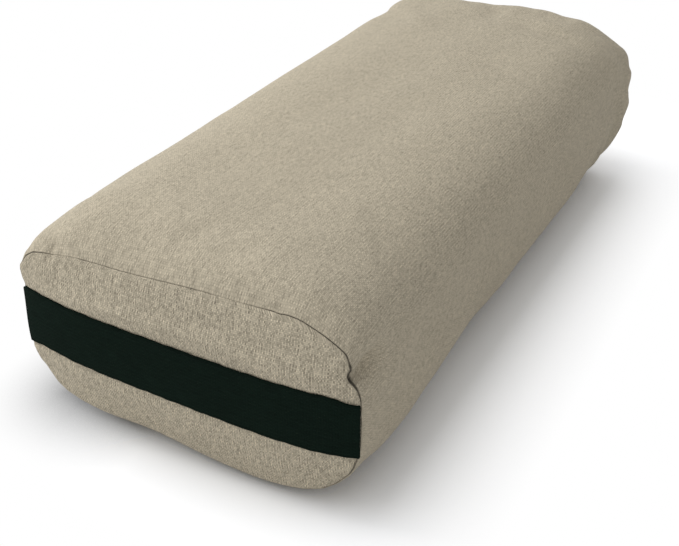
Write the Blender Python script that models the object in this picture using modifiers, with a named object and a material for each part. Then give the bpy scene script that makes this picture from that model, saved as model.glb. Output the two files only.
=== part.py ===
"""Rectangular yoga bolster: sewn linen cover, webbing carrying handle, zip, muslin liner and cotton fill.

Metres, +Z up. The origin is the middle of the base. The handle is on the end that faces -Y, and the
zip runs along the long side that faces -X. Cloth is an open loft that Solidify makes thick.
"""

import math

import bmesh
import bpy
import numpy as np

# Overall form
BODY_WIDTH = 0.305
BODY_HEIGHT = 0.185
SEAM_TO_SEAM = 0.655
BASE_FLAT_WIDTH = 0.092
SIDE_BAND_LOW = 0.066
SIDE_BAND_HIGH = 0.112
TOP_SIDE_POWER = 4.0
TOP_CROWN_POWER = 2.9
LOWER_SIDE_POWER = 2.8
LOWER_BASE_POWER = 1.85

# Form of the two ends
END_TAPER_LENGTH = 0.070
END_TAPER_POWER = 2.5
END_TOP_DROP = 0.018
END_BASE_RISE = 0.009
END_NARROWING = 0.002
END_DOME = 0.010
DOME_POWER = 4.0

# Cloth, thread and the room left between pieces
COVER_THICKNESS = 0.0010
LINER_THICKNESS = 0.0006
SEAM_ALLOWANCE = 0.010
THREAD_RADIUS = 0.0004
CLEARANCE = 0.0003
LAYER_CLEARANCE = 0.0004

# Carrying handle
HANDLE_WIDTH = 0.051
HANDLE_THICKNESS = 0.0018
HANDLE_GRIP_LENGTH = 0.130
HANDLE_BEND_RADIUS = 0.0006

# Zip
ZIP_OPENING = 0.460
ZIP_SLOT_WIDTH = 0.012
ZIP_TAPE_WIDTH = 0.0145
ZIP_TAPE_THICKNESS = 0.0005
ZIP_TAPE_OVERLAP = 0.015
ZIP_COIL_WIDTH = 0.0022
ZIP_COIL_HEIGHT = 0.0018
ZIP_END_MARGIN = 0.004
ZIP_STOP_LENGTH = 0.003
ZIP_STOP_HEIGHT = 0.0016
TOPSTITCH_MARGIN = 0.0025
SLIDER_LENGTH = 0.013
SLIDER_RIM = 0.0013
SLIDER_PLATE = 0.0008
SLIDER_WEB = 0.0005
BAIL_LENGTH = 0.0070
BAIL_WIDTH = 0.0020
BAIL_BAR = 0.0007
BAIL_FOOT = 0.0010
PULL_LENGTH = 0.028
PULL_THICKNESS = 0.0010
PULL_ARM = 0.0015
PULL_BAR = 0.0010

# Liner and fill
LINER_SHOULDER = 0.015
LINER_END_GAP = 0.0006
BATTING_LAYERS = 5

# How finely the curves are cut
TOP_STEPS = 8
LOWER_STEPS = 6
DENSE_STEPS = 240
DOME_SHARES = (0.30, 0.58, 0.80, 0.94)
TAPER_SHARES = (0.0, 0.30, 0.55, 0.75, 0.90)
HANDLE_STEPS = 8
BEND_STEPS = 3

# Depths of the layers below the cover's outer face, where the ends slope most
HALF_WIDTH = BODY_WIDTH / 2
HALF_LENGTH = SEAM_TO_SEAM / 2
END_SLOPE = max(END_TOP_DROP, END_BASE_RISE) * END_TAPER_POWER / END_TAPER_LENGTH
SLOPE_STRETCH = math.hypot(1.0, END_SLOPE)
DOME_STRETCH = math.hypot(1.0, END_DOME * DOME_POWER / (BODY_HEIGHT / 2 - END_TOP_DROP))
COVER_DEPTH = COVER_THICKNESS * SLOPE_STRETCH
FOLD_DEPTH = COVER_DEPTH * 2 + CLEARANCE
PANEL_DEPTH = FOLD_DEPTH + CLEARANCE * SLOPE_STRETCH
PANEL_INNER_DEPTH = PANEL_DEPTH + COVER_DEPTH
LINER_DEPTH = COVER_DEPTH + LAYER_CLEARANCE
LINER_STEP = LINER_THICKNESS * SLOPE_STRETCH + LAYER_CLEARANCE
LINER_HALF_LENGTH = HALF_LENGTH - COVER_THICKNESS * DOME_STRETCH - LINER_END_GAP
FILL_HALF_LENGTH = LINER_HALF_LENGTH - LINER_THICKNESS * DOME_STRETCH - LAYER_CLEARANCE
HANDLE_HEIGHT = (SIDE_BAND_LOW + SIDE_BAND_HIGH) / 2
ZIP_HEIGHT = (SIDE_BAND_LOW + SIDE_BAND_HIGH) / 2


def evenly_spaced(curve, steps):
    """Points of a curve, spaced evenly by the sum of their share of its length and of its turn."""
    edges = np.diff(curve, axis=0)
    lengths = np.hypot(edges[:, 0], edges[:, 1])
    headings = np.unwrap(np.arctan2(edges[:, 1], edges[:, 0]))
    turns = np.abs(np.gradient(headings))
    weights = lengths / lengths.sum() + turns / turns.sum()
    travelled = np.concatenate([[0.0], np.cumsum(weights)])
    wanted = np.linspace(0.0, travelled[-1], steps + 1)
    return [(np.interp(w, travelled, curve[:, 0]), np.interp(w, travelled, curve[:, 1])) for w in wanted]


def half_outline(end_share):
    """Right half of the cross-section, from the middle of the top down to the edge of the flat base."""
    half_width = HALF_WIDTH - END_NARROWING * end_share
    top = BODY_HEIGHT - END_TOP_DROP * end_share
    base = END_BASE_RISE * end_share
    base_edge = BASE_FLAT_WIDTH / 2
    angles = np.linspace(0.0, math.pi / 2, DENSE_STEPS)
    falling = np.clip(np.cos(angles), 0.0, 1.0)
    across = np.sin(angles) ** (2 / TOP_SIDE_POWER)
    upward = falling ** (2 / TOP_CROWN_POWER)
    upper = np.column_stack([half_width * across, SIDE_BAND_HIGH + (top - SIDE_BAND_HIGH) * upward])
    outward = falling ** (2 / LOWER_SIDE_POWER)
    downward = np.sin(angles) ** (2 / LOWER_BASE_POWER)
    lower_x = base_edge + (half_width - base_edge) * outward
    lower = np.column_stack([lower_x, SIDE_BAND_LOW - (SIDE_BAND_LOW - base) * downward])
    return evenly_spaced(upper, TOP_STEPS) + evenly_spaced(lower, LOWER_STEPS)


def full_outline(end_share):
    """Closed cross-section that starts at the middle of the top and goes round by the +X side."""
    right = half_outline(end_share)
    left = [(-x, z) for x, z in reversed(right[1:])]
    return np.array(right + left)


def inset(outline, depth):
    """Outline whose sides lie a depth inside the given one, parallel to it."""
    edges = np.roll(outline, -1, axis=0) - outline
    edges /= np.hypot(edges[:, 0], edges[:, 1])[:, None]
    inward = np.column_stack([edges[:, 1], -edges[:, 0]])
    before = np.roll(inward, 1, axis=0)
    spread = 1.0 + (before * inward).sum(axis=1)
    return outline + depth * (before + inward) / spread[:, None]


def width_at(outline, height):
    """Half width of an outline at a height, on its +X side."""
    right = np.array([point for point in outline if point[0] >= 0.0])
    order = np.argsort(right[:, 1])
    return float(np.interp(height, right[order, 1], right[order, 0]))


def narrowest(outline, span):
    """Smallest half width of an outline over a span of heights."""
    return min(width_at(outline, height) for height in span)


def centred(size, middle=0.0):
    """Span of a size about its middle."""
    return (middle - size / 2, middle + size / 2)


# The handle's tails, in the seam between the cover's turned edge and the end panel's
SEAM_OUTLINE = full_outline(1.0)
TAIL_OUTER_X = narrowest(inset(SEAM_OUTLINE, FOLD_DEPTH), centred(HANDLE_WIDTH, HANDLE_HEIGHT)) - CLEARANCE
TAIL_INNER_X = TAIL_OUTER_X - HANDLE_THICKNESS
TAIL_DEPTH = HALF_WIDTH - END_NARROWING - TAIL_INNER_X
FRONT_THREAD_DEPTH = TAIL_DEPTH + CLEARANCE + THREAD_RADIUS
REAR_THREAD_DEPTH = PANEL_INNER_DEPTH + (CLEARANCE + THREAD_RADIUS) * SLOPE_STRETCH
LINER_END_DEPTH = FRONT_THREAD_DEPTH + (THREAD_RADIUS + LAYER_CLEARANCE) * SLOPE_STRETCH

# The zip, counted inwards from the cover's face
STITCHED_WIDTH = ZIP_SLOT_WIDTH + 2 * TOPSTITCH_MARGIN
ZIP_FACE_X = -narrowest(full_outline(0.0), centred(STITCHED_WIDTH, ZIP_HEIGHT))
TAPE_OUTER_X = ZIP_FACE_X + COVER_THICKNESS + CLEARANCE
TAPE_INNER_X = TAPE_OUTER_X + ZIP_TAPE_THICKNESS
COIL_INNER_X = TAPE_OUTER_X - CLEARANCE
COIL_OUTER_X = COIL_INNER_X - ZIP_COIL_HEIGHT
STOP_OUTER_X = COIL_INNER_X - ZIP_STOP_HEIGHT
PLATE_INNER_X = COIL_OUTER_X - CLEARANCE
PLATE_OUTER_X = PLATE_INNER_X - SLIDER_PLATE
BACK_OUTER_X = TAPE_INNER_X + CLEARANCE
BACK_INNER_X = BACK_OUTER_X + SLIDER_PLATE
ZIP_POCKET = BACK_INNER_X - ZIP_FACE_X + LAYER_CLEARANCE
BAIL_ROOM = math.hypot(PULL_THICKNESS, PULL_BAR) + 2 * CLEARANCE
PULL_AXIS_X = PLATE_OUTER_X - BAIL_ROOM / 2

# The zip, counted upwards and downwards from its middle line, and along it
CHAIN_GAP = SLIDER_WEB / 2 + CLEARANCE
COIL_EDGE = CHAIN_GAP + ZIP_COIL_WIDTH
TAPE_EDGE = CHAIN_GAP + ZIP_TAPE_WIDTH
SLIDER_WIDTH = 2 * (COIL_EDGE + CLEARANCE + SLIDER_RIM)
STOP_OUTER_Y = ZIP_OPENING / 2 - ZIP_END_MARGIN
STOP_INNER_Y = STOP_OUTER_Y - ZIP_STOP_LENGTH
COIL_END_Y = STOP_INNER_Y - CLEARANCE
SLIDER_REST_Y = SLIDER_LENGTH / 2 - COIL_END_Y


def clear_scene():
    """Start from an empty scene."""
    for old in list(bpy.data.objects):
        bpy.data.objects.remove(old, do_unlink=True)


def new_collection(name):
    """Collection linked to the scene."""
    collection = bpy.data.collections.new(name)
    bpy.context.scene.collection.children.link(collection)
    return collection


def new_material(name, colour, roughness, metallic=0.0):
    """Principled material of one colour."""
    material = bpy.data.materials.new(name)
    material.use_nodes = True
    shader = material.node_tree.nodes["Principled BSDF"]
    shader.inputs["Base Color"].default_value = (*colour, 1.0)
    shader.inputs["Roughness"].default_value = roughness
    shader.inputs["Metallic"].default_value = metallic
    material.diffuse_color = (*colour, 1.0)
    return material


def new_object(name, data, collection, material=None, centre=(0.0, 0.0, 0.0), parent=None):
    """Object of a mesh or a curve whose points are written about a centre."""
    thing = bpy.data.objects.new(name, data)
    collection.objects.link(thing)
    if material is not None:
        data.materials.append(material)
    place_under(thing, centre, parent)
    return thing


def new_joint(name, centre, collection, parent=None):
    """Empty on a joint's axis."""
    empty = bpy.data.objects.new(name, None)
    empty.empty_display_size = 2 * SLIDER_LENGTH
    collection.objects.link(empty)
    place_under(empty, centre, parent)
    return empty


def place_under(thing, place, parent):
    """Put an object at a place in the world, under a parent that isn't turned."""
    above = parent
    while above is not None:
        place = [here - there for here, there in zip(place, above.location)]
        above = above.parent
    thing.parent = parent
    thing.location = place


def as_mesh(name, mesh_data):
    """Mesh of what was modelled, shaded smooth except at its edges."""
    mesh = bpy.data.meshes.new(name)
    mesh_data.to_mesh(mesh)
    mesh_data.free()
    mesh.shade_smooth()
    mesh.set_sharp_from_angle(angle=math.radians(40))
    return mesh


def loft(name, rings, first_tip=None, last_tip=None):
    """Mesh that joins rings of equal count in order, closed to a tip at either end where one is given."""
    mesh_data = bmesh.new()
    rows = [[mesh_data.verts.new(point) for point in points] for points in rings]
    count = len(rows[0])
    for row, following in zip(rows, rows[1:]):
        for i in range(count):
            after = (i + 1) % count
            mesh_data.faces.new((row[i], row[after], following[after], following[i]))
    if first_tip is not None:
        tip = mesh_data.verts.new(first_tip)
        for i in range(count):
            mesh_data.faces.new((tip, rows[0][(i + 1) % count], rows[0][i]))
    if last_tip is not None:
        tip = mesh_data.verts.new(last_tip)
        for i in range(count):
            mesh_data.faces.new((tip, rows[-1][i], rows[-1][(i + 1) % count]))
    return as_mesh(name, mesh_data)


def new_box(name, spans, collection, material=None, centre=(0.0, 0.0, 0.0), parent=None):
    """Box that fills a span along each axis."""
    mesh_data = bmesh.new()
    bmesh.ops.create_cube(mesh_data, size=1.0)
    for vertex in mesh_data.verts:
        for axis, (one, other) in enumerate(spans):
            share = vertex.co[axis] + 0.5
            vertex.co[axis] = min(one, other) + abs(other - one) * share - centre[axis]
    return new_object(name, as_mesh(name, mesh_data), collection, material, centre, parent)


def as_guide(thing):
    """Mark an object as a cutter or a guide, which is no piece of the bolster."""
    thing.hide_render = True
    thing.display_type = "WIRE"
    return thing


def thicken(thing, thickness):
    """Solidify an open surface towards its back."""
    solidify = thing.modifiers.new("cloth", "SOLIDIFY")
    solidify.thickness = thickness
    solidify.offset = -1.0
    solidify.use_even_offset = True
    solidify.use_rim = True


def round_edges(thing, width):
    """Bevel of an object's edges."""
    bevel = thing.modifiers.new("rounding", "BEVEL")
    bevel.width = width
    bevel.segments = 2
    bevel.limit_method = "ANGLE"


def combine(thing, guide, operation):
    """Boolean of an object with a guide."""
    boolean = thing.modifiers.new(guide.name, "BOOLEAN")
    boolean.operation = operation
    boolean.solver = "EXACT"
    boolean.object = as_guide(guide)


def share_of_taper(y):
    """How far the section at y has gone from the middle's form, 0, to the seam's, 1."""
    reach = (abs(y) - (HALF_LENGTH - END_TAPER_LENGTH)) / END_TAPER_LENGTH
    return min(max(reach, 0.0), 1.0) ** END_TAPER_POWER


def ring(y, depth=0.0, zip_pocket=0.0, scale=1.0, rise=0.0):
    """Cross-section at y, inset, kept clear of the zip's pocket, scaled about its middle and moved on."""
    outline = inset(full_outline(share_of_taper(y)), depth)
    outline[:, 0] = np.maximum(outline[:, 0], ZIP_FACE_X + zip_pocket)
    middle = np.array([0.0, (outline[:, 1].max() + outline[:, 1].min()) / 2])
    outline = middle + (outline - middle) * scale
    return [(x, y + rise, z) for x, z in outline]


def both_ways(pairs, zip_pocket=0.0):
    """Rings at places and depths that are given outwards from the middle, on both sides of it."""
    rings = [ring(-place, depth, zip_pocket) for place, depth in reversed(pairs)]
    return rings + [ring(place, depth, zip_pocket) for place, depth in pairs]


def taper_places(limit=HALF_LENGTH):
    """Places along the length where the taper is cut, up to a limit."""
    places = [HALF_LENGTH - END_TAPER_LENGTH * (1.0 - share) for share in TAPER_SHARES]
    return [place for place in places if place < limit]


def dome_rise(scale):
    """How far an end's dome stands out of the seam's plane at a share of the way to its rim."""
    return END_DOME * (1.0 - scale**DOME_POWER)


def dome_rings(rim, depth, zip_pocket):
    """Rings of an end's dome from near its tip out to the rim at y, and the tip."""
    side = math.copysign(1.0, rim)
    scales = DOME_SHARES + (1.0,)
    rings = [ring(rim, depth, zip_pocket, scale, side * dome_rise(scale)) for scale in scales]
    heights = [point[2] for point in rings[-1]]
    tip = (0.0, rim + side * END_DOME, (max(heights) + min(heights)) / 2)
    return rings, tip


def end_panel(name, rim, depth, zip_pocket=0.0):
    """Domed end panel, rim at y, with its seam allowance turned in."""
    rings, tip = dome_rings(rim, depth, zip_pocket)
    rings.append(ring(rim - math.copysign(SEAM_ALLOWANCE, rim), depth, zip_pocket))
    if rim > 0:
        return loft(name, rings[::-1], last_tip=tip)
    return loft(name, rings, first_tip=tip)


def build_cover(parts, cutters, linen):
    """Outer cover: a wrap panel with turned ends and the zip's slot, and two domed end panels."""
    pairs = [(place, 0.0) for place in taper_places()]
    pairs += [(HALF_LENGTH, 0.0), (HALF_LENGTH, FOLD_DEPTH), (HALF_LENGTH - SEAM_ALLOWANCE, FOLD_DEPTH)]
    wrap = new_object("cover_wrap_panel", loft("cover_wrap_panel", both_ways(pairs)), parts, linen)
    thicken(wrap, COVER_THICKNESS)
    slot_x = (ZIP_FACE_X - ZIP_POCKET, ZIP_FACE_X + ZIP_POCKET)
    slot = (slot_x, centred(ZIP_OPENING), centred(ZIP_SLOT_WIDTH, ZIP_HEIGHT))
    combine(wrap, new_box("zip_slot_cutter", slot, cutters), "DIFFERENCE")
    for name, rim in (("cover_front_panel", -HALF_LENGTH), ("cover_rear_panel", HALF_LENGTH)):
        panel = new_object(name, end_panel(name, rim, PANEL_DEPTH), parts, linen)
        thicken(panel, COVER_THICKNESS)
        if rim < 0:
            notch_panel(panel, cutters)


def notch_panel(panel, cutters):
    """Take out the rim of the front panel where the handle's tails go into the side seams."""
    notch_y = (-HALF_LENGTH - 2 * END_DOME, -HALF_LENGTH + 2 * SEAM_ALLOWANCE)
    notch_z = centred(HANDLE_WIDTH + 2 * CLEARANCE, HANDLE_HEIGHT)
    for label, side in (("left", -1), ("right", 1)):
        notch_x = (side * (TAIL_INNER_X - CLEARANCE), side * HALF_WIDTH)
        notch = new_box(f"handle_notch_cutter_{label}", (notch_x, notch_y, notch_z), cutters)
        combine(panel, notch, "DIFFERENCE")


def new_thread(name, points, parts, material):
    """Closed line of stitching as one thin round ring."""
    curve = bpy.data.curves.new(name, "CURVE")
    curve.dimensions = "3D"
    curve.bevel_depth = THREAD_RADIUS
    curve.bevel_resolution = 1
    spline = curve.splines.new("POLY")
    spline.points.add(len(points) - 1)
    for control, point in zip(spline.points, points):
        control.co = (*point, 1.0)
    spline.use_cyclic_u = True
    return new_object(name, curve, parts, material)


def build_threads(parts, thread):
    """Stitching of the two end seams, inside the cover, and round the zip's slot, outside it."""
    seam_place = HALF_LENGTH - SEAM_ALLOWANCE / 2
    new_thread("front_seam_thread", ring(-seam_place, FRONT_THREAD_DEPTH), parts, thread)
    new_thread("rear_seam_thread", ring(seam_place, REAR_THREAD_DEPTH), parts, thread)
    x = ZIP_FACE_X - CLEARANCE - THREAD_RADIUS
    front, rear = centred(ZIP_OPENING + 2 * TOPSTITCH_MARGIN)
    low, high = centred(STITCHED_WIDTH, ZIP_HEIGHT)
    corners = [(x, front, low), (x, rear, low), (x, rear, high), (x, front, high)]
    new_thread("zip_topstitch_thread", corners, parts, thread)


def strap_inner_y(x):
    """Where the strap's inner face lies at a distance from the middle, just off the domed front panel."""
    rim = width_at(inset(SEAM_OUTLINE, PANEL_DEPTH), HANDLE_HEIGHT)
    return -HALF_LENGTH - dome_rise(min(abs(x) / rim, 1.0)) - CLEARANCE - LAYER_CLEARANCE


def strap_across(start, stop):
    """Inner face of the strap, seen from above, between two distances from the middle."""
    steps = [start + (stop - start) * i / HANDLE_STEPS for i in range(HANDLE_STEPS + 1)]
    return [(x, strap_inner_y(x)) for x in steps]


def leg_path():
    """Inner face of the right leg of the strap: across the panel, round the rim and into the seam."""
    bend_start = TAIL_INNER_X - HANDLE_BEND_RADIUS
    path = strap_across(HANDLE_GRIP_LENGTH / 2 + CLEARANCE, bend_start)
    centre_y = path[-1][1] + HANDLE_BEND_RADIUS
    for i in range(1, BEND_STEPS + 1):
        angle = math.pi / 2 * i / BEND_STEPS
        x = bend_start + HANDLE_BEND_RADIUS * math.sin(angle)
        path.append((x, centre_y - HANDLE_BEND_RADIUS * math.cos(angle)))
    path.append((TAIL_INNER_X, -HALF_LENGTH + SEAM_ALLOWANCE))
    return path


def new_strap(name, path, parts, material, centre=(0.0, 0.0, 0.0), parent=None):
    """Flat strap along a path that runs towards +X, seen from above, thickened away from the panel."""
    mesh_data = bmesh.new()
    rows = []
    for x, y in path:
        flat = [(x - centre[0], y - centre[1], z - centre[2]) for z in centred(HANDLE_WIDTH, HANDLE_HEIGHT)]
        rows.append([mesh_data.verts.new(point) for point in flat])
    for (low, high), (next_low, next_high) in zip(rows, rows[1:]):
        mesh_data.faces.new((low, high, next_high, next_low))
    strap = new_object(name, as_mesh(name, mesh_data), parts, material, centre, parent)
    thicken(strap, HANDLE_THICKNESS)
    return strap


def build_handle(parts, webbing):
    """Webbing handle across the front panel: a grip that lifts and two legs caught in the side seams."""
    half_grip = HANDLE_GRIP_LENGTH / 2
    centre = (0.0, strap_inner_y(0.0), HANDLE_HEIGHT)
    lift = new_joint("handle_lift_joint", centre, parts)
    new_strap("handle_grip", strap_across(-half_grip, half_grip), parts, webbing, centre, lift)
    right = leg_path()
    left = [(-x, y) for x, y in reversed(right)]
    new_strap("handle_left_leg", left, parts, webbing)
    new_strap("handle_right_leg", right, parts, webbing)


def build_zip_chain(parts, tape_cloth, coil_plastic, metal):
    """Tapes and coils of the zip, with stops on both coils at one end and across them at the other."""
    tape_y = centred(ZIP_OPENING + 2 * ZIP_TAPE_OVERLAP)
    for label, side in (("upper", 1), ("lower", -1)):
        inner = ZIP_HEIGHT + side * CHAIN_GAP
        tape_z = (inner, ZIP_HEIGHT + side * TAPE_EDGE)
        coil_z = (inner, ZIP_HEIGHT + side * COIL_EDGE)
        new_box(f"zip_tape_{label}", ((TAPE_OUTER_X, TAPE_INNER_X), tape_y, tape_z), parts, tape_cloth)
        coil_spans = ((COIL_OUTER_X, COIL_INNER_X), centred(2 * COIL_END_Y), coil_z)
        coil = new_box(f"zip_coil_{label}", coil_spans, parts, coil_plastic)
        round_edges(coil, ZIP_COIL_HEIGHT / 5)
        stop_spans = ((STOP_OUTER_X, COIL_INNER_X), (-STOP_OUTER_Y, -STOP_INNER_Y), coil_z)
        new_box(f"zip_top_stop_{label}", stop_spans, parts, metal)
    across = centred(2 * COIL_EDGE, ZIP_HEIGHT)
    stop_spans = ((STOP_OUTER_X, COIL_INNER_X), (STOP_INNER_Y, STOP_OUTER_Y), across)
    new_box("zip_bottom_stop", stop_spans, parts, metal)


def build_slider(parts, cutters, metal):
    """Zip slider: two plates and their side rims, the web between the tapes, and the bail for the pull."""
    centre = ((PLATE_OUTER_X + BACK_INNER_X) / 2, SLIDER_REST_Y, ZIP_HEIGHT)
    joint = new_joint("zip_slide_joint", centre, parts)
    bite = SLIDER_PLATE / 4
    full_y = centred(SLIDER_LENGTH, SLIDER_REST_Y)
    held_y = centred(SLIDER_LENGTH - 2 * bite, SLIDER_REST_Y)
    full_z = centred(SLIDER_WIDTH, ZIP_HEIGHT)
    rim_x = (PLATE_INNER_X - bite, TAPE_OUTER_X - CLEARANCE)
    rim_z = centred(SLIDER_RIM - bite, ZIP_HEIGHT + (SLIDER_WIDTH - SLIDER_RIM - bite) / 2)
    low_rim_z = centred(SLIDER_RIM - bite, ZIP_HEIGHT - (SLIDER_WIDTH - SLIDER_RIM - bite) / 2)
    web_x = (PLATE_INNER_X - bite, BACK_OUTER_X + bite)
    bail_top = PLATE_OUTER_X - BAIL_ROOM
    foot_x = (bail_top - BAIL_BAR / 2, PLATE_OUTER_X + bite)
    foot_z = centred(BAIL_WIDTH - 2 * bite, ZIP_HEIGHT)
    foot_size = BAIL_FOOT - bite
    foot_reach = (BAIL_LENGTH - BAIL_FOOT - bite) / 2
    pieces = {
        "slider_back": ((BACK_OUTER_X, BACK_INNER_X), full_y, full_z),
        "slider_web": (web_x, held_y, centred(SLIDER_WEB, ZIP_HEIGHT)),
        "slider_rim_upper": (rim_x, held_y, rim_z),
        "slider_rim_lower": (rim_x, held_y, low_rim_z),
        "slider_bail_bar": (
            (bail_top - BAIL_BAR, bail_top),
            centred(BAIL_LENGTH, SLIDER_REST_Y),
            centred(BAIL_WIDTH, ZIP_HEIGHT),
        ),
        "slider_bail_front": (foot_x, centred(foot_size, SLIDER_REST_Y - foot_reach), foot_z),
        "slider_bail_rear": (foot_x, centred(foot_size, SLIDER_REST_Y + foot_reach), foot_z),
    }
    face = ((PLATE_OUTER_X, PLATE_INNER_X), full_y, full_z)
    slider = new_box("zip_slider", face, parts, metal, centre, joint)
    for name, spans in pieces.items():
        combine(slider, new_box(name, spans, cutters), "UNION")
    return joint


def build_pull(parts, cutters, metal, slider_joint):
    """Pull tab, hooked under the slider's bail by the bar at the end of its slot."""
    axis = (PULL_AXIS_X, SLIDER_REST_Y, ZIP_HEIGHT)
    joint = new_joint("zip_pull_joint", axis, parts, slider_joint)
    slot_width = BAIL_WIDTH + 4 * CLEARANCE
    slot_reach = math.hypot(BAIL_LENGTH / 2, BAIL_ROOM / 2 + BAIL_BAR) + 2 * CLEARANCE
    pull_y = (SLIDER_REST_Y - PULL_BAR / 2, SLIDER_REST_Y + PULL_LENGTH)
    pull_z = centred(slot_width + 2 * PULL_ARM, ZIP_HEIGHT)
    spans = (centred(PULL_THICKNESS, PULL_AXIS_X), pull_y, pull_z)
    pull = new_box("zip_pull_tab", spans, parts, metal, axis, joint)
    slot_y = (SLIDER_REST_Y + PULL_BAR / 2, SLIDER_REST_Y + slot_reach)
    slot = (centred(2 * PULL_THICKNESS, PULL_AXIS_X), slot_y, centred(slot_width, ZIP_HEIGHT))
    combine(pull, new_box("pull_slot_cutter", slot, cutters), "DIFFERENCE")


def nested_pairs(middle_depth, end_depth):
    """Places and depths of a shell inside the cover, which narrows at a shoulder behind each end seam."""
    shoulder_out = LINER_HALF_LENGTH - SEAM_ALLOWANCE - CLEARANCE
    shoulder_in = shoulder_out - LINER_SHOULDER
    pairs = [(place, middle_depth) for place in taper_places(shoulder_in)]
    return pairs + [(shoulder_in, middle_depth), (shoulder_out, end_depth)]


def build_liner(parts, muslin):
    """Inner bag that holds the fill: a wrap panel and two end panels."""
    pairs = nested_pairs(LINER_DEPTH, LINER_END_DEPTH) + [(LINER_HALF_LENGTH, LINER_END_DEPTH)]
    rings = both_ways(pairs, ZIP_POCKET)
    wrap = new_object("liner_wrap_panel", loft("liner_wrap_panel", rings), parts, muslin)
    thicken(wrap, LINER_THICKNESS)
    for name, rim in (("liner_front_panel", -LINER_HALF_LENGTH), ("liner_rear_panel", LINER_HALF_LENGTH)):
        mesh = end_panel(name, rim, LINER_END_DEPTH + LINER_STEP, ZIP_POCKET + LINER_STEP)
        thicken(new_object(name, mesh, parts, muslin), LINER_THICKNESS)


def fill_form():
    """Whole form of the fill inside the liner."""
    middle_depth = LINER_DEPTH + LINER_STEP
    end_depth = LINER_END_DEPTH + 2 * LINER_STEP
    pocket = ZIP_POCKET + 2 * LINER_STEP
    front, front_tip = dome_rings(-FILL_HALF_LENGTH, end_depth, pocket)
    rear, rear_tip = dome_rings(FILL_HALF_LENGTH, end_depth, pocket)
    rings = front + both_ways(nested_pairs(middle_depth, end_depth), pocket) + rear[::-1]
    return loft("fill_form", rings, front_tip, rear_tip)


def build_batting(parts, cutters, cotton):
    """Fill of stacked cotton batting, each layer the fill's form between two levels."""
    whole = new_object("fill_form", fill_form(), cutters)
    bottom = LINER_DEPTH + LINER_STEP
    pitch = (BODY_HEIGHT - 2 * bottom) / BATTING_LAYERS
    for number in range(BATTING_LAYERS):
        low = bottom + number * pitch + LAYER_CLEARANCE / 2
        high = low + pitch - LAYER_CLEARANCE
        if number == 0:
            low = 0.0
        if number == BATTING_LAYERS - 1:
            high = BODY_HEIGHT
        spans = (centred(BODY_WIDTH), centred(2 * SEAM_TO_SEAM), (low, high))
        combine(new_box(f"batting_layer_{number + 1}", spans, parts, cotton), whole, "INTERSECT")


def main():
    """Build every piece of the bolster."""
    clear_scene()
    parts = new_collection("yoga_bolster")
    cutters = new_collection("cutters")
    linen = new_material("natural_linen", (0.42, 0.37, 0.29), 0.92)
    thread = new_material("sewing_thread", (0.36, 0.31, 0.24), 0.80)
    webbing = new_material("dark_green_webbing", (0.007, 0.012, 0.009), 0.75)
    tape_cloth = new_material("zip_tape", (0.34, 0.29, 0.22), 0.88)
    coil_plastic = new_material("zip_coil", (0.30, 0.26, 0.20), 0.45)
    metal = new_material("antique_brass", (0.32, 0.24, 0.13), 0.38, 0.9)
    muslin = new_material("cotton_muslin", (0.78, 0.75, 0.68), 0.90)
    cotton = new_material("cotton_batting", (0.82, 0.80, 0.74), 0.98)
    build_cover(parts, cutters, linen)
    build_threads(parts, thread)
    build_handle(parts, webbing)
    build_zip_chain(parts, tape_cloth, coil_plastic, metal)
    slider_joint = build_slider(parts, cutters, metal)
    build_pull(parts, cutters, metal, slider_joint)
    build_liner(parts, muslin)
    build_batting(parts, cutters, cotton)


main()
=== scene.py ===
"""Looks of the yoga bolster: soft linen cover, webbing handle, zip, fill, floor, light and camera.

Metres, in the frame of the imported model: -Y is the end with the handle, -X the long side with the zip.
"""

import functools
import math

import bpy
import numpy as np
from mathutils import Matrix, Vector


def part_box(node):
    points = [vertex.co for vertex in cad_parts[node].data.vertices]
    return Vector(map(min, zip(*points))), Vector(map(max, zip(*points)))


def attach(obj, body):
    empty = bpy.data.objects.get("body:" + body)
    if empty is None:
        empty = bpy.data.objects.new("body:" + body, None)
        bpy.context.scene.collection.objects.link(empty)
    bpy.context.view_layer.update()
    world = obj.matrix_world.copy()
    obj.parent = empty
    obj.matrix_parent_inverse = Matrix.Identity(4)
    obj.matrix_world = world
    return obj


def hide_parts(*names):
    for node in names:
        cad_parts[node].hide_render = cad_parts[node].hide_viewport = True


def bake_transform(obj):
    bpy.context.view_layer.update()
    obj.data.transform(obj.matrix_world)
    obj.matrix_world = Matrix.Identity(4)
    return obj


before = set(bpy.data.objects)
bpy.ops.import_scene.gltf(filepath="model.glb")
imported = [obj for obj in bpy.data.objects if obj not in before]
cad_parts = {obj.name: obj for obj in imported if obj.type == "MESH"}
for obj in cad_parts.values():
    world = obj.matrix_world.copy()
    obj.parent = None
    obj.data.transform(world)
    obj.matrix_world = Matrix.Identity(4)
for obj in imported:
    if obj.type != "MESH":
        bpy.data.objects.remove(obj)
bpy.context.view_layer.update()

# Camera, fitted to the photo: place, turn about the vertical, tilt, lean, and focal length in pixels
CAMERA_PLACE = (0.3988, -0.8125, 0.5548)
CAMERA_YAW = 0.5004
CAMERA_PITCH = -0.5575
CAMERA_ROLL = -0.0036
FOCAL_PIXELS = 1040.07
PHOTO_WIDTH = 679.0
SENSOR_WIDTH = 36.0

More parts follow.
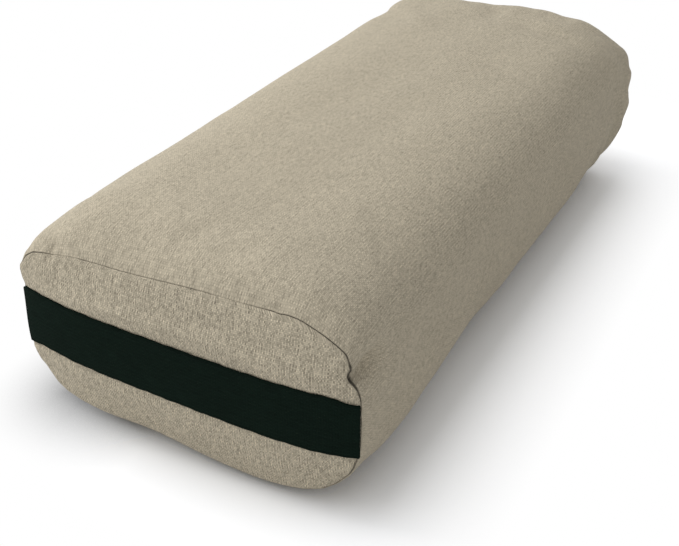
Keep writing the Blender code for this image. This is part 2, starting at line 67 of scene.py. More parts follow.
# Form of the filled cover, fitted to the photo together with the camera
HALF_WIDTH = 0.1525
HALF_LENGTH = 0.3282
HEIGHT = 0.1843
BAND_LOW = 0.0672
BAND_HIGH = 0.1187
BASE_HALF = 0.0442
TOP_SIDE_POWER = 3.64
TOP_CROWN_POWER = 2.895
LOWER_SIDE_POWER = 2.83
LOWER_BASE_POWER = 1.83
DOME_POWER = 4.3
FRONT = {"taper": 0.052, "narrowing": 0.018, "drop": 0.105, "rise": 0.035, "dome": 0.0098, "power": 3.83}
REAR = {"taper": 0.040, "narrowing": 0.010, "drop": 0.085, "rise": 0.120, "dome": 0.0098, "power": 5.5}
SIDES = {-1: "front", 1: "rear"}

# Handle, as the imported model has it
STRAP_LOW, STRAP_HIGH = (corner[2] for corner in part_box("handle_grip"))
STRAP_MIDDLE = (STRAP_LOW + STRAP_HIGH) / 2
STRAP_WIDTH = STRAP_HIGH - STRAP_LOW
STRAP_THICKNESS = 0.0018
STRAP_RIM = 0.1485
STRAP_RIM_PLACE = -0.3285
STRAP_BULGE = 0.0115
STRAP_TURN = 0.1482
STRAP_TILT = 0.0025
GRIP_HALF = 0.065

# How the strap bends into the side seam and runs on in it: steps, turn of a step in degrees and its length
STRAP_BEND = ((9, 9.5, 0.00022), (4, 0.0, 0.0007))

# Zip slot in the long side that faces -X, and its turned edge: depth and reach of each row, and the cloth
# coordinate across its first row and for each row
ZIP_LOW = 0.083
ZIP_HIGH = 0.095
ZIP_MIDDLE = (ZIP_LOW + ZIP_HIGH) / 2
ZIP_END = 0.230
ZIP_FACE = -0.1525
HEM = ((0.0003, 0.0002), (0.0007, 0.0003), (0.0012, 0.0001))
HEM_START = 0.7
HEM_CLOTH = 0.0004

# Colours, and light: the world's, even and more from the left, and each lamp's place, size and energy
LINEN_COLOUR = (0.50, 0.442, 0.336)
WEBBING_COLOUR = (0.0062, 0.0132, 0.0094)
WORLD_EVEN = 0.475
WORLD_LEFT = 0.60
LAMPS = {"top_lamp": ((-0.95, -0.2, 1.35), 0.9, 8.9), "front_lamp": ((-1.3, -1.0, 0.7), 1.0, 3.3)}
LAMP_TARGET = (0.0, 0.0, 0.1)

# Floor as the camera sees it: colour, reach and strength of the painted shadow that darkens it where the
# object closes it off, and where it fades to white.
# The left look, a glow dimmed by the same painted shadow, takes over between two places across, and fades
# sooner
FLOOR_SEEN = (1.65, 1.67, 1.71)
FLOOR_NEAR = 0.08
FLOOR_POWER = 0.45
FLOOR_LEFT_POWER = 2.2
FLOOR_LEFT = (-0.12, -0.04)
FLOOR_LEFT_SOONER = 0.025
FLOOR_CORE = (0.14, 0.31)
FLOOR_BEHIND = 0.4
FLOOR_FADE = (0.015, 0.105)

# How finely the cloth is cut: steps along the top, the lower curve, half of the base and the length
TOP_STEPS = 38
LOWER_STEPS = 27
BASE_STEPS = 9
BAND_HEIGHTS = (BAND_HIGH, 0.1128, 0.1069, 0.1010, ZIP_HIGH, ZIP_MIDDLE, ZIP_LOW, 0.0777, 0.0725, BAND_LOW)
CAP_ACROSS = 58
FINER = 2
ROW_STEP = 0.0025
ROW_FINEST = 0.0009

# Weave: how a thread's tone changes from crossing to crossing, how long a float is for its width,
# how high cross threads and ribs stand next to the main threads, and how far threads wander
THREAD_CHANGE = 0.16
FLOAT_LENGTH = 1.3
CROSS_HEIGHT = 0.6
RIB_HEIGHT = 0.16
WANDER = 1.8

# Seam between the wrap and an end panel: radius of the rolled edges, their steps and the cloth in each,
# how far from the seam the roll starts, how deep the skirt and the thread lie, and the steps between which
# painted shade darkens the cloth in the roll
ROLL = 0.0010
ROLL_STEPS = 6
ROLL_CLOTH = 0.0005
SEAM_CLEAR = 0.0034
SKIRT = 0.0018
THREAD_DEPTH = 0.0019
SEAM_PAINTED_SHADE_STEPS = (1.5, 4.0)
OUTSIDE_SEAM = -9.0

# Liner: how far below the cover's outer face, its end panels' share of the size, and the cloth in a column
LINER_DEPTH = 0.0021
LINER_SHRINK = (0.990, 1.0, 0.990)
LINER_CLOTH = 0.006

# Cloth simulation of the slack cover: rows of its coarse mesh, frames, largest movement and settings
SIM_ROWS = 92
SIM_FRAMES = 20
SIM_REACH = 0.005
SIM_CLOTH = {
    "quality": 6, "mass": 0.25, "tension_stiffness": 18.0, "compression_stiffness": 18.0,
    "shear_stiffness": 6.0, "bending_stiffness": 0.35, "use_pressure": True,
    "uniform_pressure_force": 5.0, "vertex_group_mass": "held", "pin_stiffness": 1.0,
    "vertex_group_shrink": "gathered", "shrink_min": 0.0, "shrink_max": 0.04,
}

# Painted shade at the pucker of the seam at the near right corner, where the seam is drawn darker and wider:
# place and size
PUCKER_PAINTED_SHADE = (0.1405, -0.3285, 0.1315)
PUCKER_PAINTED_SHADE_SIZE = 0.0085

# Folds of the side at the near right corner: start, end, width at both, and how far they pull it in
CORNER_FOLDS = (
    ((0.1495, -0.3285, 0.1298), (0.1540, -0.2860, 0.1345), 0.0088, 0.0105, 0.0062),
    ((0.1495, -0.3270, 0.1298), (0.1515, -0.2960, 0.1335), 0.0038, 0.0062, 0.0030),
    ((0.1470, -0.3285, 0.1430), (0.1520, -0.2900, 0.1480), 0.0065, 0.0090, 0.0036),
)

# Soft furrows of the top behind the near right corner: place across and depth
TOP_FURROWS = ((0.087, 0.0012), (0.104, -0.00072), (0.121, 0.0012))

# Short crease that runs back from the seam at the near left corner: direction
CREASE_ALONG = (0.0, 0.74, 0.66)

# Corners of a stitch's and of a coil's wire, and how far inside its box the row round the zip runs
WIRE_SIDES = 6
TOPSTITCH_INSET = 0.0004


def smoothstep(low, high, value):
    """0 below low, 1 above high and a smooth rise between them."""
    t = np.clip((value - low) / (high - low), 0.0, 1.0)
    return t * t * (3.0 - 2.0 * t)


def unit(vectors):
    """Vectors of length one."""
    return vectors / np.maximum(np.linalg.norm(vectors, axis=-1, keepdims=True), 1e-12)


def bump(distance, width):
    """Bell curve."""
    return np.exp(-((distance / width) ** 2))


def bells(value, *each):
    """Sum of bell curves, each told by its height, middle and width."""
    return sum(height * bump(value - middle, width) for height, middle, width in each)


def near(points, centre, width):
    """Bell curve round a point."""
    return bump(np.linalg.norm(points - centre, axis=-1), width)


def furrow(points, start, end, width_start, width_end):
    """Strength of a furrow that fades from 1 at its start to 0 at its end, and widens on the way."""
    along = np.subtract(end, start)
    length = np.linalg.norm(along)
    offset = points - start
    travelled = offset @ (along / length) / length
    across = np.linalg.norm(offset - np.clip(travelled, 0.0, None)[..., None] * along, axis=-1)
    width = width_start + (width_end - width_start) * np.clip(travelled, 0.0, 1.0)
    return bump(across, width) * (1.0 - smoothstep(0.0, 1.0, travelled))


def dent(points, centre, along, length, width):
    """Strength of a long dent: 1 at its centre, with bell curves along and across it."""
    offset = points - centre
    travelled = offset @ np.array(along)
    across = np.linalg.norm(offset - travelled[..., None] * along, axis=-1)
    return bump(travelled, length) * bump(across, width)


class Waves:
    """Smooth noise made of plane waves of random directions, with wavelengths in a band."""

    def __init__(self, seed, shortest, longest, count=28, stretch=(1.0, 1.0, 1.0)):
        random = np.random.default_rng(seed)
        directions = unit(random.normal(size=(count, 3))) / np.array(stretch)
        lengths = np.exp(random.uniform(math.log(shortest), math.log(longest), count))
        self.wave = directions * (2 * math.pi / lengths)[:, None]
        self.phase = random.uniform(0.0, 2 * math.pi, count)
        self.scale = math.sqrt(2.0 / count)

    def __call__(self, points):
        total = np.zeros(points.shape[:-1])
        for wave, phase in zip(self.wave, self.phase):
            total += np.cos(points @ wave + phase)
        return total * self.scale


LUMPS = Waves(11, 0.050, 0.120, stretch=(1.0, 1.8, 1.0))
DIMPLES = Waves(12, 0.022, 0.045, stretch=(1.0, 1.4, 1.0))
FAR_FOLDS = Waves(15, 0.020, 0.034, count=14, stretch=(6.0, 1.0, 3.5))
RIPPLES = Waves(16, 0.008, 0.016)


def top_curve(t, half_width, top):
    """Upper quarter of the section from the side band, t 0, to the middle of the top."""
    x = half_width * np.clip(np.cos(t), 0.0, 1.0) ** (2 / TOP_SIDE_POWER)
    z = BAND_HIGH + (top - BAND_HIGH) * np.sin(t) ** (2 / TOP_CROWN_POWER)
    return x, z


def lower_curve(t, half_width, base):
    """Lower quarter of the section from the side band, t 0, to the edge of the flat base."""
    x = BASE_HALF + (half_width - BASE_HALF) * np.clip(np.cos(t), 0.0, 1.0) ** (2 / LOWER_SIDE_POWER)
    z = BAND_LOW - (BAND_LOW - base) * np.sin(t) ** (2 / LOWER_BASE_POWER)
    return x, z


def even_parameters(curve, steps, count=4000):
    """Parameters at which a curve is cut into pieces of equal length, tried most densely at both ends."""
    u = np.linspace(0.0, 1.0, count)
    t = math.pi / 2 * u**3 / (u**3 + (1.0 - u) ** 3)
    x, z = curve(t)
    travelled = np.concatenate([[0.0], np.cumsum(np.hypot(np.diff(x), np.diff(z)))])
    return np.interp(np.linspace(0.0, travelled[-1], steps + 1), travelled, t)


@functools.cache
def half_nodes(finer):
    """Parameters of the half section, each step of the coarse one cut into as many as finer says."""
    top = even_parameters(lambda t: top_curve(t, HALF_WIDTH, HEIGHT), TOP_STEPS * finer)
    low = even_parameters(lambda t: lower_curve(t, HALF_WIDTH, 0.0), LOWER_STEPS * finer)
    last = len(BAND_HEIGHTS) - 1
    band = np.interp(np.linspace(0, last, last * finer + 1), np.arange(last + 1), BAND_HEIGHTS)
    return top[::-1], band, low


def ring(y, finer):
    """Points (x, z) round the section at y, from the middle of the top down the +X side and round."""
    end = FRONT if y < 0 else REAR
    reach = (abs(y) - (HALF_LENGTH - end["taper"])) / end["taper"]
    share = min(max(reach, 0.0), 1.0) ** end["power"]
    half_width = HALF_WIDTH * (1.0 - end["narrowing"] * share)
    base = HEIGHT * end["rise"] * share
    upper, band, low = half_nodes(finer)
    top_x, top_z = top_curve(upper, half_width, HEIGHT * (1.0 - end["drop"] * share))
    low_x, low_z = lower_curve(low, half_width, base)
    base_x = np.linspace(BASE_HALF, 0.0, BASE_STEPS * finer + 1)[1:]
    x = np.concatenate([top_x, np.full(len(band) - 2, half_width), low_x, base_x])
    z = np.concatenate([top_z, band[1:-1], low_z, np.full(len(base_x), base)])
    points = np.column_stack([x, z])
    return np.concatenate([points, points[1:-1][::-1] * (-1.0, 1.0)])


def at_length(outline, y):
    """Points (x, y, z) from points (x, z) and their place along the length."""
    return np.stack([outline[..., 0], np.broadcast_to(y, outline.shape[:-1]), outline[..., 1]], -1)


def wrap_grid(places, finer):
    """Points of the wrap, one row for each place along the length."""
    return np.array([at_length(ring(y, finer), y) for y in places])


def cap_edges(count, finer):
    """Numbers of the ring's points along the top, right, bottom and left edge of an end panel's grid."""
    across = CAP_ACROSS * finer
    round_once = (np.arange(count + 1) - across // 2) % count
    corners = np.cumsum((0, across, count // 2 - across, across, count // 2 - across))
    top, right, bottom, left = (round_once[a : b + 1] for a, b in zip(corners, corners[1:]))
    return top, right, bottom[::-1], left[::-1]


def edges_of(grid):
    """Top, right, bottom and left edge of a grid."""
    return grid[0], grid[:, -1], grid[-1], grid[:, 0]


def rim_of(grid, finer):
    """What a grid holds along its edges, in the order of the ring round it."""
    count = 2 * (grid.shape[0] + grid.shape[1]) - 4
    rim = np.zeros((count,) + grid.shape[2:], grid.dtype)
    for numbers, edge in zip(cap_edges(count, finer), edges_of(grid)):
        rim[numbers] = edge
    return rim


def cap_grid(side, outline, edge, finer):
    """Points of an end panel as a grid whose edge is a given ring, domed outwards inside the outline."""
    top, right, bottom, left = (edge[numbers] for numbers in cap_edges(len(edge), finer))
    u = np.linspace(0.0, 1.0, len(top))[None, :, None]
    v = np.linspace(0.0, 1.0, len(right))[:, None, None]
    grid = (1 - v) * top[None] + v * bottom[None] + (1 - u) * left[:, None] + u * right[:, None]
    grid -= (1 - u) * (1 - v) * top[0] + u * (1 - v) * top[-1] + (1 - u) * v * bottom[0] + u * v * bottom[-1]
    for _ in range(600):
        inner = grid[:-2, 1:-1] + grid[2:, 1:-1] + grid[1:-1, :-2] + grid[1:-1, 2:]
        grid[1:-1, 1:-1] = inner / 4
    rise = dome_height(grid, outline, FRONT["dome"] if side < 0 else REAR["dome"])
    return at_length(grid, side * (HALF_LENGTH + rise))


def dome_height(points, outline, dome):
    """How far the end's dome stands out of the seam's plane at points (x, z)."""
    middle = (outline[:, 1].max() + outline[:, 1].min()) / 2
    turn = np.arctan2(outline[:, 1] - middle, outline[:, 0])
    reach = np.hypot(outline[:, 1] - middle, outline[:, 0])
    angle = np.arctan2(points[..., 1] - middle, points[..., 0])
    rim = np.interp(angle, turn, reach, period=2 * math.pi)
    share = np.hypot(points[..., 0], points[..., 1] - middle) / rim
    return dome * (1.0 - np.clip(share, 0.0, 1.0) ** DOME_POWER)


def inset(outline, depth):
    """Ring inside a given one, moved along its normals."""
    along = unit(np.roll(outline, -1, axis=0) - np.roll(outline, 1, axis=0))
    return outline + depth * np.column_stack([along[:, 1], -along[:, 0]])


def length_places():
    """Places along the length up to the seams' rolls: even between the zip's ends, then closer."""
    middle = np.linspace(-ZIP_END, ZIP_END, round(2 * ZIP_END / ROW_STEP) + 1)
    run = HALF_LENGTH - SEAM_CLEAR - ZIP_END
    gaps = []
    gap = ROW_FINEST
    while sum(gaps) + gap < run:
        gaps.append(gap)
        gap = min(gap * 1.3, ROW_STEP)
    gaps = np.array(gaps) * run / sum(gaps)
    outer = HALF_LENGTH - SEAM_CLEAR - np.concatenate([[0.0], np.cumsum(gaps)])[:-1]
    return np.concatenate([-outer, middle, outer[::-1]])


def strap_outer(x):
    """Where the strap's outer face lies at rest at a distance from the middle."""
    return STRAP_RIM_PLACE - STRAP_BULGE * (1.0 - np.clip(np.abs(x) / STRAP_RIM, 0.0, 1.0) ** 4)


def soften(points):
    """Points of the smooth form moved to where the filled cloth lies: lumps, folds and puckers."""
    x, y, z = np.moveaxis(points, -1, 0)
    right, left = x > 0.05, x < -0.05
    near_floor = smoothstep(0.004, 0.030, z)
    off_zip = smoothstep(0.020, 0.040, np.abs(z - ZIP_MIDDLE)) + smoothstep(-0.14, -0.12, x)
    off_zip += smoothstep(ZIP_END + 0.01, ZIP_END + 0.04, np.abs(y))
    free = near_floor * np.clip(off_zip, 0.0, 1.0)

    # Outwards: lumps, puckers along both seams, folds and gathers at the far end, a crease at the left
    seam = np.exp(-np.abs(np.abs(y) - HALF_LENGTH) / 0.010)
    swell = (0.0005 * LUMPS(points) + 0.0001 * DIMPLES(points) + 0.00035 * RIPPLES(points) * seam) * free
    gathers = np.cos((z + 0.6 * x) * 2 * math.pi / 0.027 + 0.9) * smoothstep(0.285, 0.328, y)
    folds = 0.0008 * FAR_FOLDS(points) + 0.0012 * gathers * smoothstep(0.065, 0.090, z)
    swell += folds * smoothstep(0.17, 0.27, y) * smoothstep(0.02, 0.06, x) * near_floor
    swell -= 0.0046 * dent(points, (-0.1145, -0.3235, 0.1595), CREASE_ALONG, 0.0080, 0.0036) * left

    # Upwards: the far top edge, and the front's, which sags left of the middle and rides high at the right
    rise = bells(x, (0.0036, 0.018, 0.034), (0.0024, 0.072, 0.020), (-0.0062, 0.130, 0.026))
    up = rise * smoothstep(0.27, 0.32, y) * smoothstep(0.12, 0.15, z)
    rise = bells(x, (0.0046, 0.102, 0.028), (0.0030, -0.136, 0.014), (-0.0052, -0.055, 0.064))
    up += rise * smoothstep(-0.262, -0.322, y) * smoothstep(0.105, 0.150, z)
    up -= 0.0055 * near(points, (-0.131, -0.305, 0.167), 0.024)
    for place, depth in TOP_FURROWS:
        start, end = (place, -0.3270, 0.1640), (place - 0.012, -0.2700, 0.1830)
        up -= depth * furrow(points, start, end, 0.0040, 0.0090) * right

    # The lower edge of the front end hangs in a wave
    wave = smoothstep(0.060, 0.010, z) * smoothstep(-0.285, -0.325, y) * bump(x + 0.045, 0.055)
    up += 0.0058 * wave

    # Sideways: the seam is pulled in above the right end of the strap, and folds run back from there
    pulled = sum(depth * furrow(points, *fold) for *fold, depth in CORNER_FOLDS)
    pulled += 0.0075 * bump(y + 0.307, 0.015) * bump(z - 0.1330, 0.0090)
    pulled -= 0.0010 * near(points, (0.150, -0.318, 0.1150), 0.011)
    pulled -= 0.0012 * near(points, (0.143, -0.318, 0.1500), 0.013)
    pulled += 0.0014 * bump(z - 0.055, 0.012) * smoothstep(-0.300, -0.325, y)
    aside = -pulled * right

    # Left corner: the wrap folds over the panel, and is slimmer above the strap
    corner = furrow(points, (-0.1480, -0.3280, 0.1380), (-0.1120, -0.3275, 0.1610), 0.0040, 0.0035) * left
    up -= 0.0014 * corner
    aside += 0.0008 * corner - 0.0016 * near(points, (-0.1480, -0.3290, 0.1310), 0.008) * left
    slim = bells(z, (0.0018, 0.1205, 0.0070), (0.0014, 0.1490, 0.0085))
    aside += slim * smoothstep(-0.295, -0.318, y) * smoothstep(-0.115, -0.135, x) - left_swell(points)

    # Long right side: slack a little way back from the front, fuller at the front and at the far end
    slack = bells(y, (0.0016, -0.255, 0.030), (-0.0040, -0.095, 0.050), (-0.0042, 0.235, 0.045))
    slack += bells(y, (-0.0036, -0.306, 0.018))
    aside += slack * smoothstep(0.088, 0.055, z) * smoothstep(0.09, 0.13, x)
    aside += 0.0050 * bump(y - 0.305, 0.035) * bump(z - 0.095, 0.030) * (x > 0)

    middle = np.stack([np.zeros_like(x), np.clip(y, -0.26, 0.26), np.full_like(z, 0.09)], -1)
    outward = unit((points - middle) * (0.6, 1.2, 1.0))
    moved = points + outward * swell[..., None] + np.stack([aside, 0.0020 * wave, up], -1)
    moved[..., 2] = np.maximum(moved[..., 2], 0.0)
    return moved


def left_swell(points):
    """How much further the left corner of the front end stands out beside and below the strap."""
    x, y, z = np.moveaxis(points, -1, 0)
    return 0.0030 * bump(z - 0.072, 0.030) * smoothstep(-0.270, -0.315, y) * smoothstep(-0.120, -0.146, x)


def press_under_strap(points):
    """Front panel's points moved to lie behind the strap and to stand out a little above and below it."""
    x, y, z = np.moveaxis(points, -1, 0)
    z = z - strap_shift(x)
    held = smoothstep(STRAP_LOW - 0.0035, STRAP_LOW + 0.0005, z)
    held = held * smoothstep(STRAP_HIGH + 0.0035, STRAP_HIGH - 0.0005, z)
    beside = bells(z, (0.0012, STRAP_HIGH + 0.012, 0.013), (0.0012, STRAP_LOW - 0.012, 0.013))
    swollen = y - beside * smoothstep(0.150, 0.120, np.abs(x))
    pressed = np.maximum(swollen, strap_outer(x) + STRAP_THICKNESS + 0.0003)
    moved = points.copy()
    moved[..., 1] = swollen + (pressed - swollen) * held
    return moved


def seam_fades(points):
    """Where the front seam's top edge is drawn flat and hardly shows, from 0 to 1: its roll is flatter there
    and its painted shade lighter.
    """
    x, y, z = np.moveaxis(points, -1, 0)
    fades = bells(x, (0.90, 0.047, 0.024), (0.95, -0.100, 0.018))
    thin = 0.40 * smoothstep(0.075, 0.055, x) * smoothstep(-0.125, -0.105, x)
    return np.minimum(np.maximum(fades, thin), 1.0) * smoothstep(0.12, 0.14, z) * (y < 0)


def painted_fold_shade(points):
    """Painted shade of the folds next to the front seam, from 0 to 1, by how deep a point lies in them."""
    right = furrow(points, (0.1415, -0.3290, 0.1300), (0.1465, -0.2960, 0.1245), 0.0042, 0.0080)
    left = dent(points, (-0.1145, -0.3240, 0.1590), CREASE_ALONG, 0.0075, 0.0034)
    return 0.30 * right * (points[..., 0] > 0) + 0.16 * left * (points[..., 0] < 0)


def settle(thing, **settings):
    """Give a thing its settings."""
    for name, value in settings.items():
        setattr(thing, name, value)
    return thing


def new_object(name, data):
    """Object of some data, linked to the scene."""
    thing = bpy.data.objects.new(name, data)
    bpy.context.scene.collection.objects.link(thing)
    return thing


def new_mesh(name, vertices, faces, uv=None, smooth=True):
    """Object of a mesh from arrays, with the cloth's own coordinates in metres for each face corner."""
    mesh = bpy.data.meshes.new(name)
    mesh.from_pydata(np.asarray(vertices, float).tolist(), [], [[int(i) for i in face] for face in faces])
    if uv is not None:
        layer = mesh.uv_layers.new(name="cloth")
        layer.data.foreach_set("uv", np.asarray(uv, dtype=np.float32).ravel())
    mesh.update()
    if smooth:
        mesh.shade_smooth()
    return new_object(name, mesh)


def points_of(thing):
    """Places of an object's vertices."""
    flat = np.zeros(len(thing.data.vertices) * 3)
    thing.data.vertices.foreach_get("co", flat)
    return flat.reshape(-1, 3)


def quads(rows, columns, closed, offset=0):
    """Faces of a grid as rows of four vertex numbers."""
    i, j = np.meshgrid(np.arange(rows - 1), np.arange(columns if closed else columns - 1), indexing="ij")
    after = (j + 1) % columns
    row, below = i * columns + offset, (i + 1) * columns + offset
    return np.stack([row + j, row + after, below + after, below + j], -1).reshape(-1, 4)


def between_rows(values, at):
    """Rows of an array at fractional row numbers."""
    low = np.clip(np.floor(at).astype(int), 0, len(values) - 2)
    share = (at - low).reshape((-1,) + (1,) * (values.ndim - 1))
    return values[low] * (1.0 - share) + values[low + 1] * share


def finer_grid(values, rows, columns):
    """Grid of values resampled to more rows and columns."""
    values = between_rows(values, np.linspace(0, len(values) - 1, rows))
    return between_rows(values.swapaxes(0, 1), np.linspace(0, values.shape[1] - 1, columns)).swapaxes(0, 1)


def coarse_form():
    """Closed coarse mesh of the form: points, faces, the wrap's places and each end's point numbers."""
    inner = np.linspace(-HALF_LENGTH, HALF_LENGTH, SIM_ROWS)
    rows = wrap_grid(inner, 1)
    count = rows.shape[1]
    points = [rows.reshape(-1, 3)]
    faces = [quads(SIM_ROWS, count, True)]
    start = SIM_ROWS * count
    numbers = {}
    for side in SIDES:
        outline = ring(side * HALF_LENGTH, 1)
        grid = cap_grid(side, outline, outline, 1)
        index = np.zeros(grid.shape[:2], int)
        free = index[1:-1, 1:-1]
        free[:] = start + np.arange(free.size).reshape(free.shape)
        for edge, around in zip(edges_of(index), cap_edges(count, 1)):
            edge[:] = around + (0 if side < 0 else (SIM_ROWS - 1) * count)
        start += free.size
        points.append(grid[1:-1, 1:-1].reshape(-1, 3))
        cells = np.stack([index[:-1, :-1], index[:-1, 1:], index[1:, 1:], index[1:, :-1]], -1)
        faces.append(cells.reshape(-1, 4)[:, ::side])
        numbers[side] = index
    return np.concatenate(points), np.concatenate(faces), inner, numbers


def even_out(values, joins, times):
    """Values at the vertices, averaged with their neighbours' over and over."""
    degree = np.bincount(joins.ravel(), minlength=len(values)).astype(float)[:, None]
    for _ in range(times):
        total = np.zeros_like(values)
        np.add.at(total, joins[:, 0], values[joins[:, 1]])
        np.add.at(total, joins[:, 1], values[joins[:, 0]])
        values = 0.5 * values + 0.5 * total / degree
    return values


def simulate_cover():
    """Blow the slack cover up; gives how each point of the coarse mesh moves off the form."""
    points, faces, inner, numbers = coarse_form()
    middle = np.array((0.0, 0.0, 0.0922))
    cover = new_mesh("slack_cover", middle + (points - middle) * (0.994, 0.994, 0.988), faces)
    x, y, z = points.T
    at_seam = bump(np.abs(np.abs(y) - HALF_LENGTH), 0.010)
    at_zip = smoothstep(-0.135, -0.150, x) * smoothstep(0.035, 0.022, np.abs(z - ZIP_MIDDLE))
    at_strap = smoothstep(-0.325, -0.330, y) * smoothstep(0.038, 0.030, np.abs(z - STRAP_MIDDLE))
    held = np.clip(smoothstep(0.012, 0.004, z) + at_zip + at_strap, 0.0, 1.0)
    for name, weights in (("held", np.maximum(held, 0.04)), ("gathered", at_seam)):
        group = cover.vertex_groups.new(name=name)
        for i, weight in enumerate(weights):
            group.add([i], float(weight), "REPLACE")
    cloth = cover.modifiers.new("cloth", "CLOTH")
    settle(cloth.settings, **SIM_CLOTH)
    cloth.settings.effector_weights.gravity = 0.0
    cloth.collision_settings.use_collision = False
    for number in range(1, SIM_FRAMES + 1):
        bpy.context.scene.frame_set(number)
    change = points_of(cover.evaluated_get(bpy.context.evaluated_depsgraph_get())) - points
    bpy.context.scene.frame_set(1)
    joins = np.zeros(len(cover.data.edges) * 2, int)
    cover.data.edges.foreach_get("vertices", joins)
    joins = joins.reshape(-1, 2)
    bpy.data.objects.remove(cover, do_unlink=True)
    taut = smoothstep(0.080, 0.120, z) * smoothstep(0.300, 0.240, np.abs(y))
    share = (1.0 - held) * (1.0 - 0.75 * taut) * (1.0 - 0.5 * smoothstep(-0.26, -0.31, y))
    change = even_out(change - even_out(change, joins, 40), joins, 1) * share[:, None]
    change *= SIM_REACH / (SIM_REACH + np.linalg.norm(change, axis=1, keepdims=True))
    return change, inner, numbers


def spread_change(simulated, places, body, ends):
    """Add the simulated movement to the fine grids of the cover."""
    change, inner, numbers = simulated
    count = len(body[0]) // FINER
    rows = change[: SIM_ROWS * count].reshape(SIM_ROWS, count, 3)
    around = np.concatenate([rows, rows[:, :1]], axis=1)
    around = between_rows(around.swapaxes(0, 1), np.arange(count * FINER) / FINER).swapaxes(0, 1)
    body += between_rows(around, np.interp(places, inner, np.arange(SIM_ROWS)))
    for side, end in ends.items():
        share = finer_grid(change[numbers[side]], *end["grid"].shape[:2])
        end["seam"] += around[0 if side < 0 else -1]
        end["grid"] += share
        end["row"] += rim_of(share, FINER)


def shape_cover():
    """Softened points of the wrap, and for each end the panel's grid, the seam and the row before it."""
    places = length_places()
    body = soften(wrap_grid(places, FINER))
    ends = {}
    for side in SIDES:
        outline = ring(side * HALF_LENGTH, FINER)
        edge = inset(outline, SEAM_CLEAR)
        rise = dome_height(edge, outline, FRONT["dome"])
        ends[side] = {
            "edge": edge,
            "grid": soften(cap_grid(side, outline, edge, FINER)),
            "seam": soften(at_length(outline, side * HALF_LENGTH)),
            "row": soften(at_length(edge, side * (HALF_LENGTH + rise))),
        }
    spread_change(simulate_cover(), places, body, ends)
    body[..., 2] = np.maximum(body[..., 2], 0.0)
    for name in ("grid", "row"):
        ends[-1][name] = press_under_strap(ends[-1][name])
    return places, body, ends


def roll_in(seam, along, normal, dive):
    """Rows of a sheet that rolls from its own direction into the seam, and the skirt behind it."""
    angle = np.arccos(np.clip((along * dive).sum(-1, keepdims=True), -0.98, 0.7))
    radius = ROLL * (1.0 - 0.78 * seam_fades(seam)[:, None])
    start = seam - radius * np.tan(angle / 2) * along
    rows = []
    for i in range(ROLL_STEPS + 1):
        turn = angle * i / ROLL_STEPS
        rows.append(start + radius * np.sin(turn) * along - radius * (1 - np.cos(turn)) * normal)
    return rows + [rows[-1] + dive * SKIRT]


def seam_rolls(end, wrap_row, side):
    """Rolled rows of the wrap and of the panel at an end's seam, and the way into the seam."""
    seam = end["seam"]
    round_seam = unit(np.roll(seam, -1, axis=0) - np.roll(seam, 1, axis=0))
    wrap_along = unit(seam - wrap_row)
    panel_along = unit(seam - end["row"])
    wrap_normal = unit(np.cross(round_seam, wrap_along)) * side
    panel_normal = unit(np.cross(round_seam, panel_along)) * -side
    dive = -unit(wrap_normal + panel_normal)
    wrap_roll = roll_in(seam, wrap_along, wrap_normal, dive)
    panel_roll = roll_in(seam, panel_along, panel_normal, dive)
    if side < 0:
        panel_roll = [press_under_strap(row) for row in panel_roll]
    return wrap_roll, panel_roll, dive


def wrap_uv(places, columns, faces):
    """Cloth coordinates of the wrap: along the length, and round it from the middle of the top."""
    flat = ring(0.0, FINER)
    steps = np.linalg.norm(np.diff(np.vstack([flat, flat[:1]]), axis=0), axis=1)
    lengths = np.concatenate([[0.0], np.cumsum(steps)])
    row, column = np.divmod(faces, columns)
    across = lengths[column]
    closing = column.max(axis=1) - column.min(axis=1) > columns // 2
    across[closing] = np.where(column[closing] == 0, lengths[-1], across[closing])
    return np.stack([places[row], across], -1)


def slot_hem(vertices, slot_faces):
    """Turned edge of the cloth round the zip's slot: a short rolled strip that goes inwards."""
    sides = [(int(a), int(b)) for face in slot_faces for a, b in zip(face, np.roll(face, -1))]
    taken = set(sides)
    edges = [(a, b) for a, b in sides if (b, a) not in taken]
    loop = sorted({number for edge in edges for number in edge})
    rim = vertices[loop]
    at_end = np.abs(np.abs(rim[:, 1]) - ZIP_END) < 1e-4
    inward = np.sign((0.0, 0.0, ZIP_MIDDLE) - rim) * (0.0, 1.0, 1.0)
    inward[:, 1] *= at_end
    hem = np.stack([rim + (depth, 0.0, 0.0) + inward * reach for depth, reach in HEM], axis=1)
    chains = {}
    for place, number in enumerate(loop):
        first = len(vertices) + place * len(HEM)
        chains[number] = [number, *range(first, first + len(HEM))]
    faces, uv = [], []
    for one, other in edges:
        start, end = vertices[one][1], vertices[other][1]
        for i in range(len(HEM)):
            faces.append((chains[one][i], chains[other][i], chains[other][i + 1], chains[one][i + 1]))
            low, high = HEM_START + i * HEM_CLOTH, HEM_START + (i + 1) * HEM_CLOTH
            uv.append([(start, low), (end, low), (end, high), (start, high)])
    return hem.reshape(-1, 3), np.array(faces), np.array(uv)


def panel_mesh(side, end):
    """Vertices, faces and cloth coordinates of an end panel with its rolled edge."""
    grid, rolled, edge = end["grid"], end["roll"], end["edge"]
    down, across = grid.shape[:2]
    inner = down * across
    count = len(edge)
    rings = [rim_of(np.arange(inner).reshape(down, across), FINER)]
    rings += [inner + i * count + np.arange(count) for i in range(len(rolled))]
    strips = [np.stack([a, np.roll(a, -1), np.roll(b, -1), b], -1) for a, b in zip(rings, rings[1:])]
    faces = np.concatenate([quads(down, across, False)[:, ::side], np.concatenate(strips)[:, ::-side]])
    outward = unit(edge - edge.mean(axis=0))
    cloth = [grid.reshape(-1, 3)[:, [2, 0]]]
    for i in range(len(rolled)):
        cloth.append((edge + outward * (SEAM_CLEAR - 0.001 + ROLL_CLOTH * i))[:, ::-1])
    return np.concatenate([grid.reshape(-1, 3), *rolled]), faces, np.concatenate(cloth)[faces]


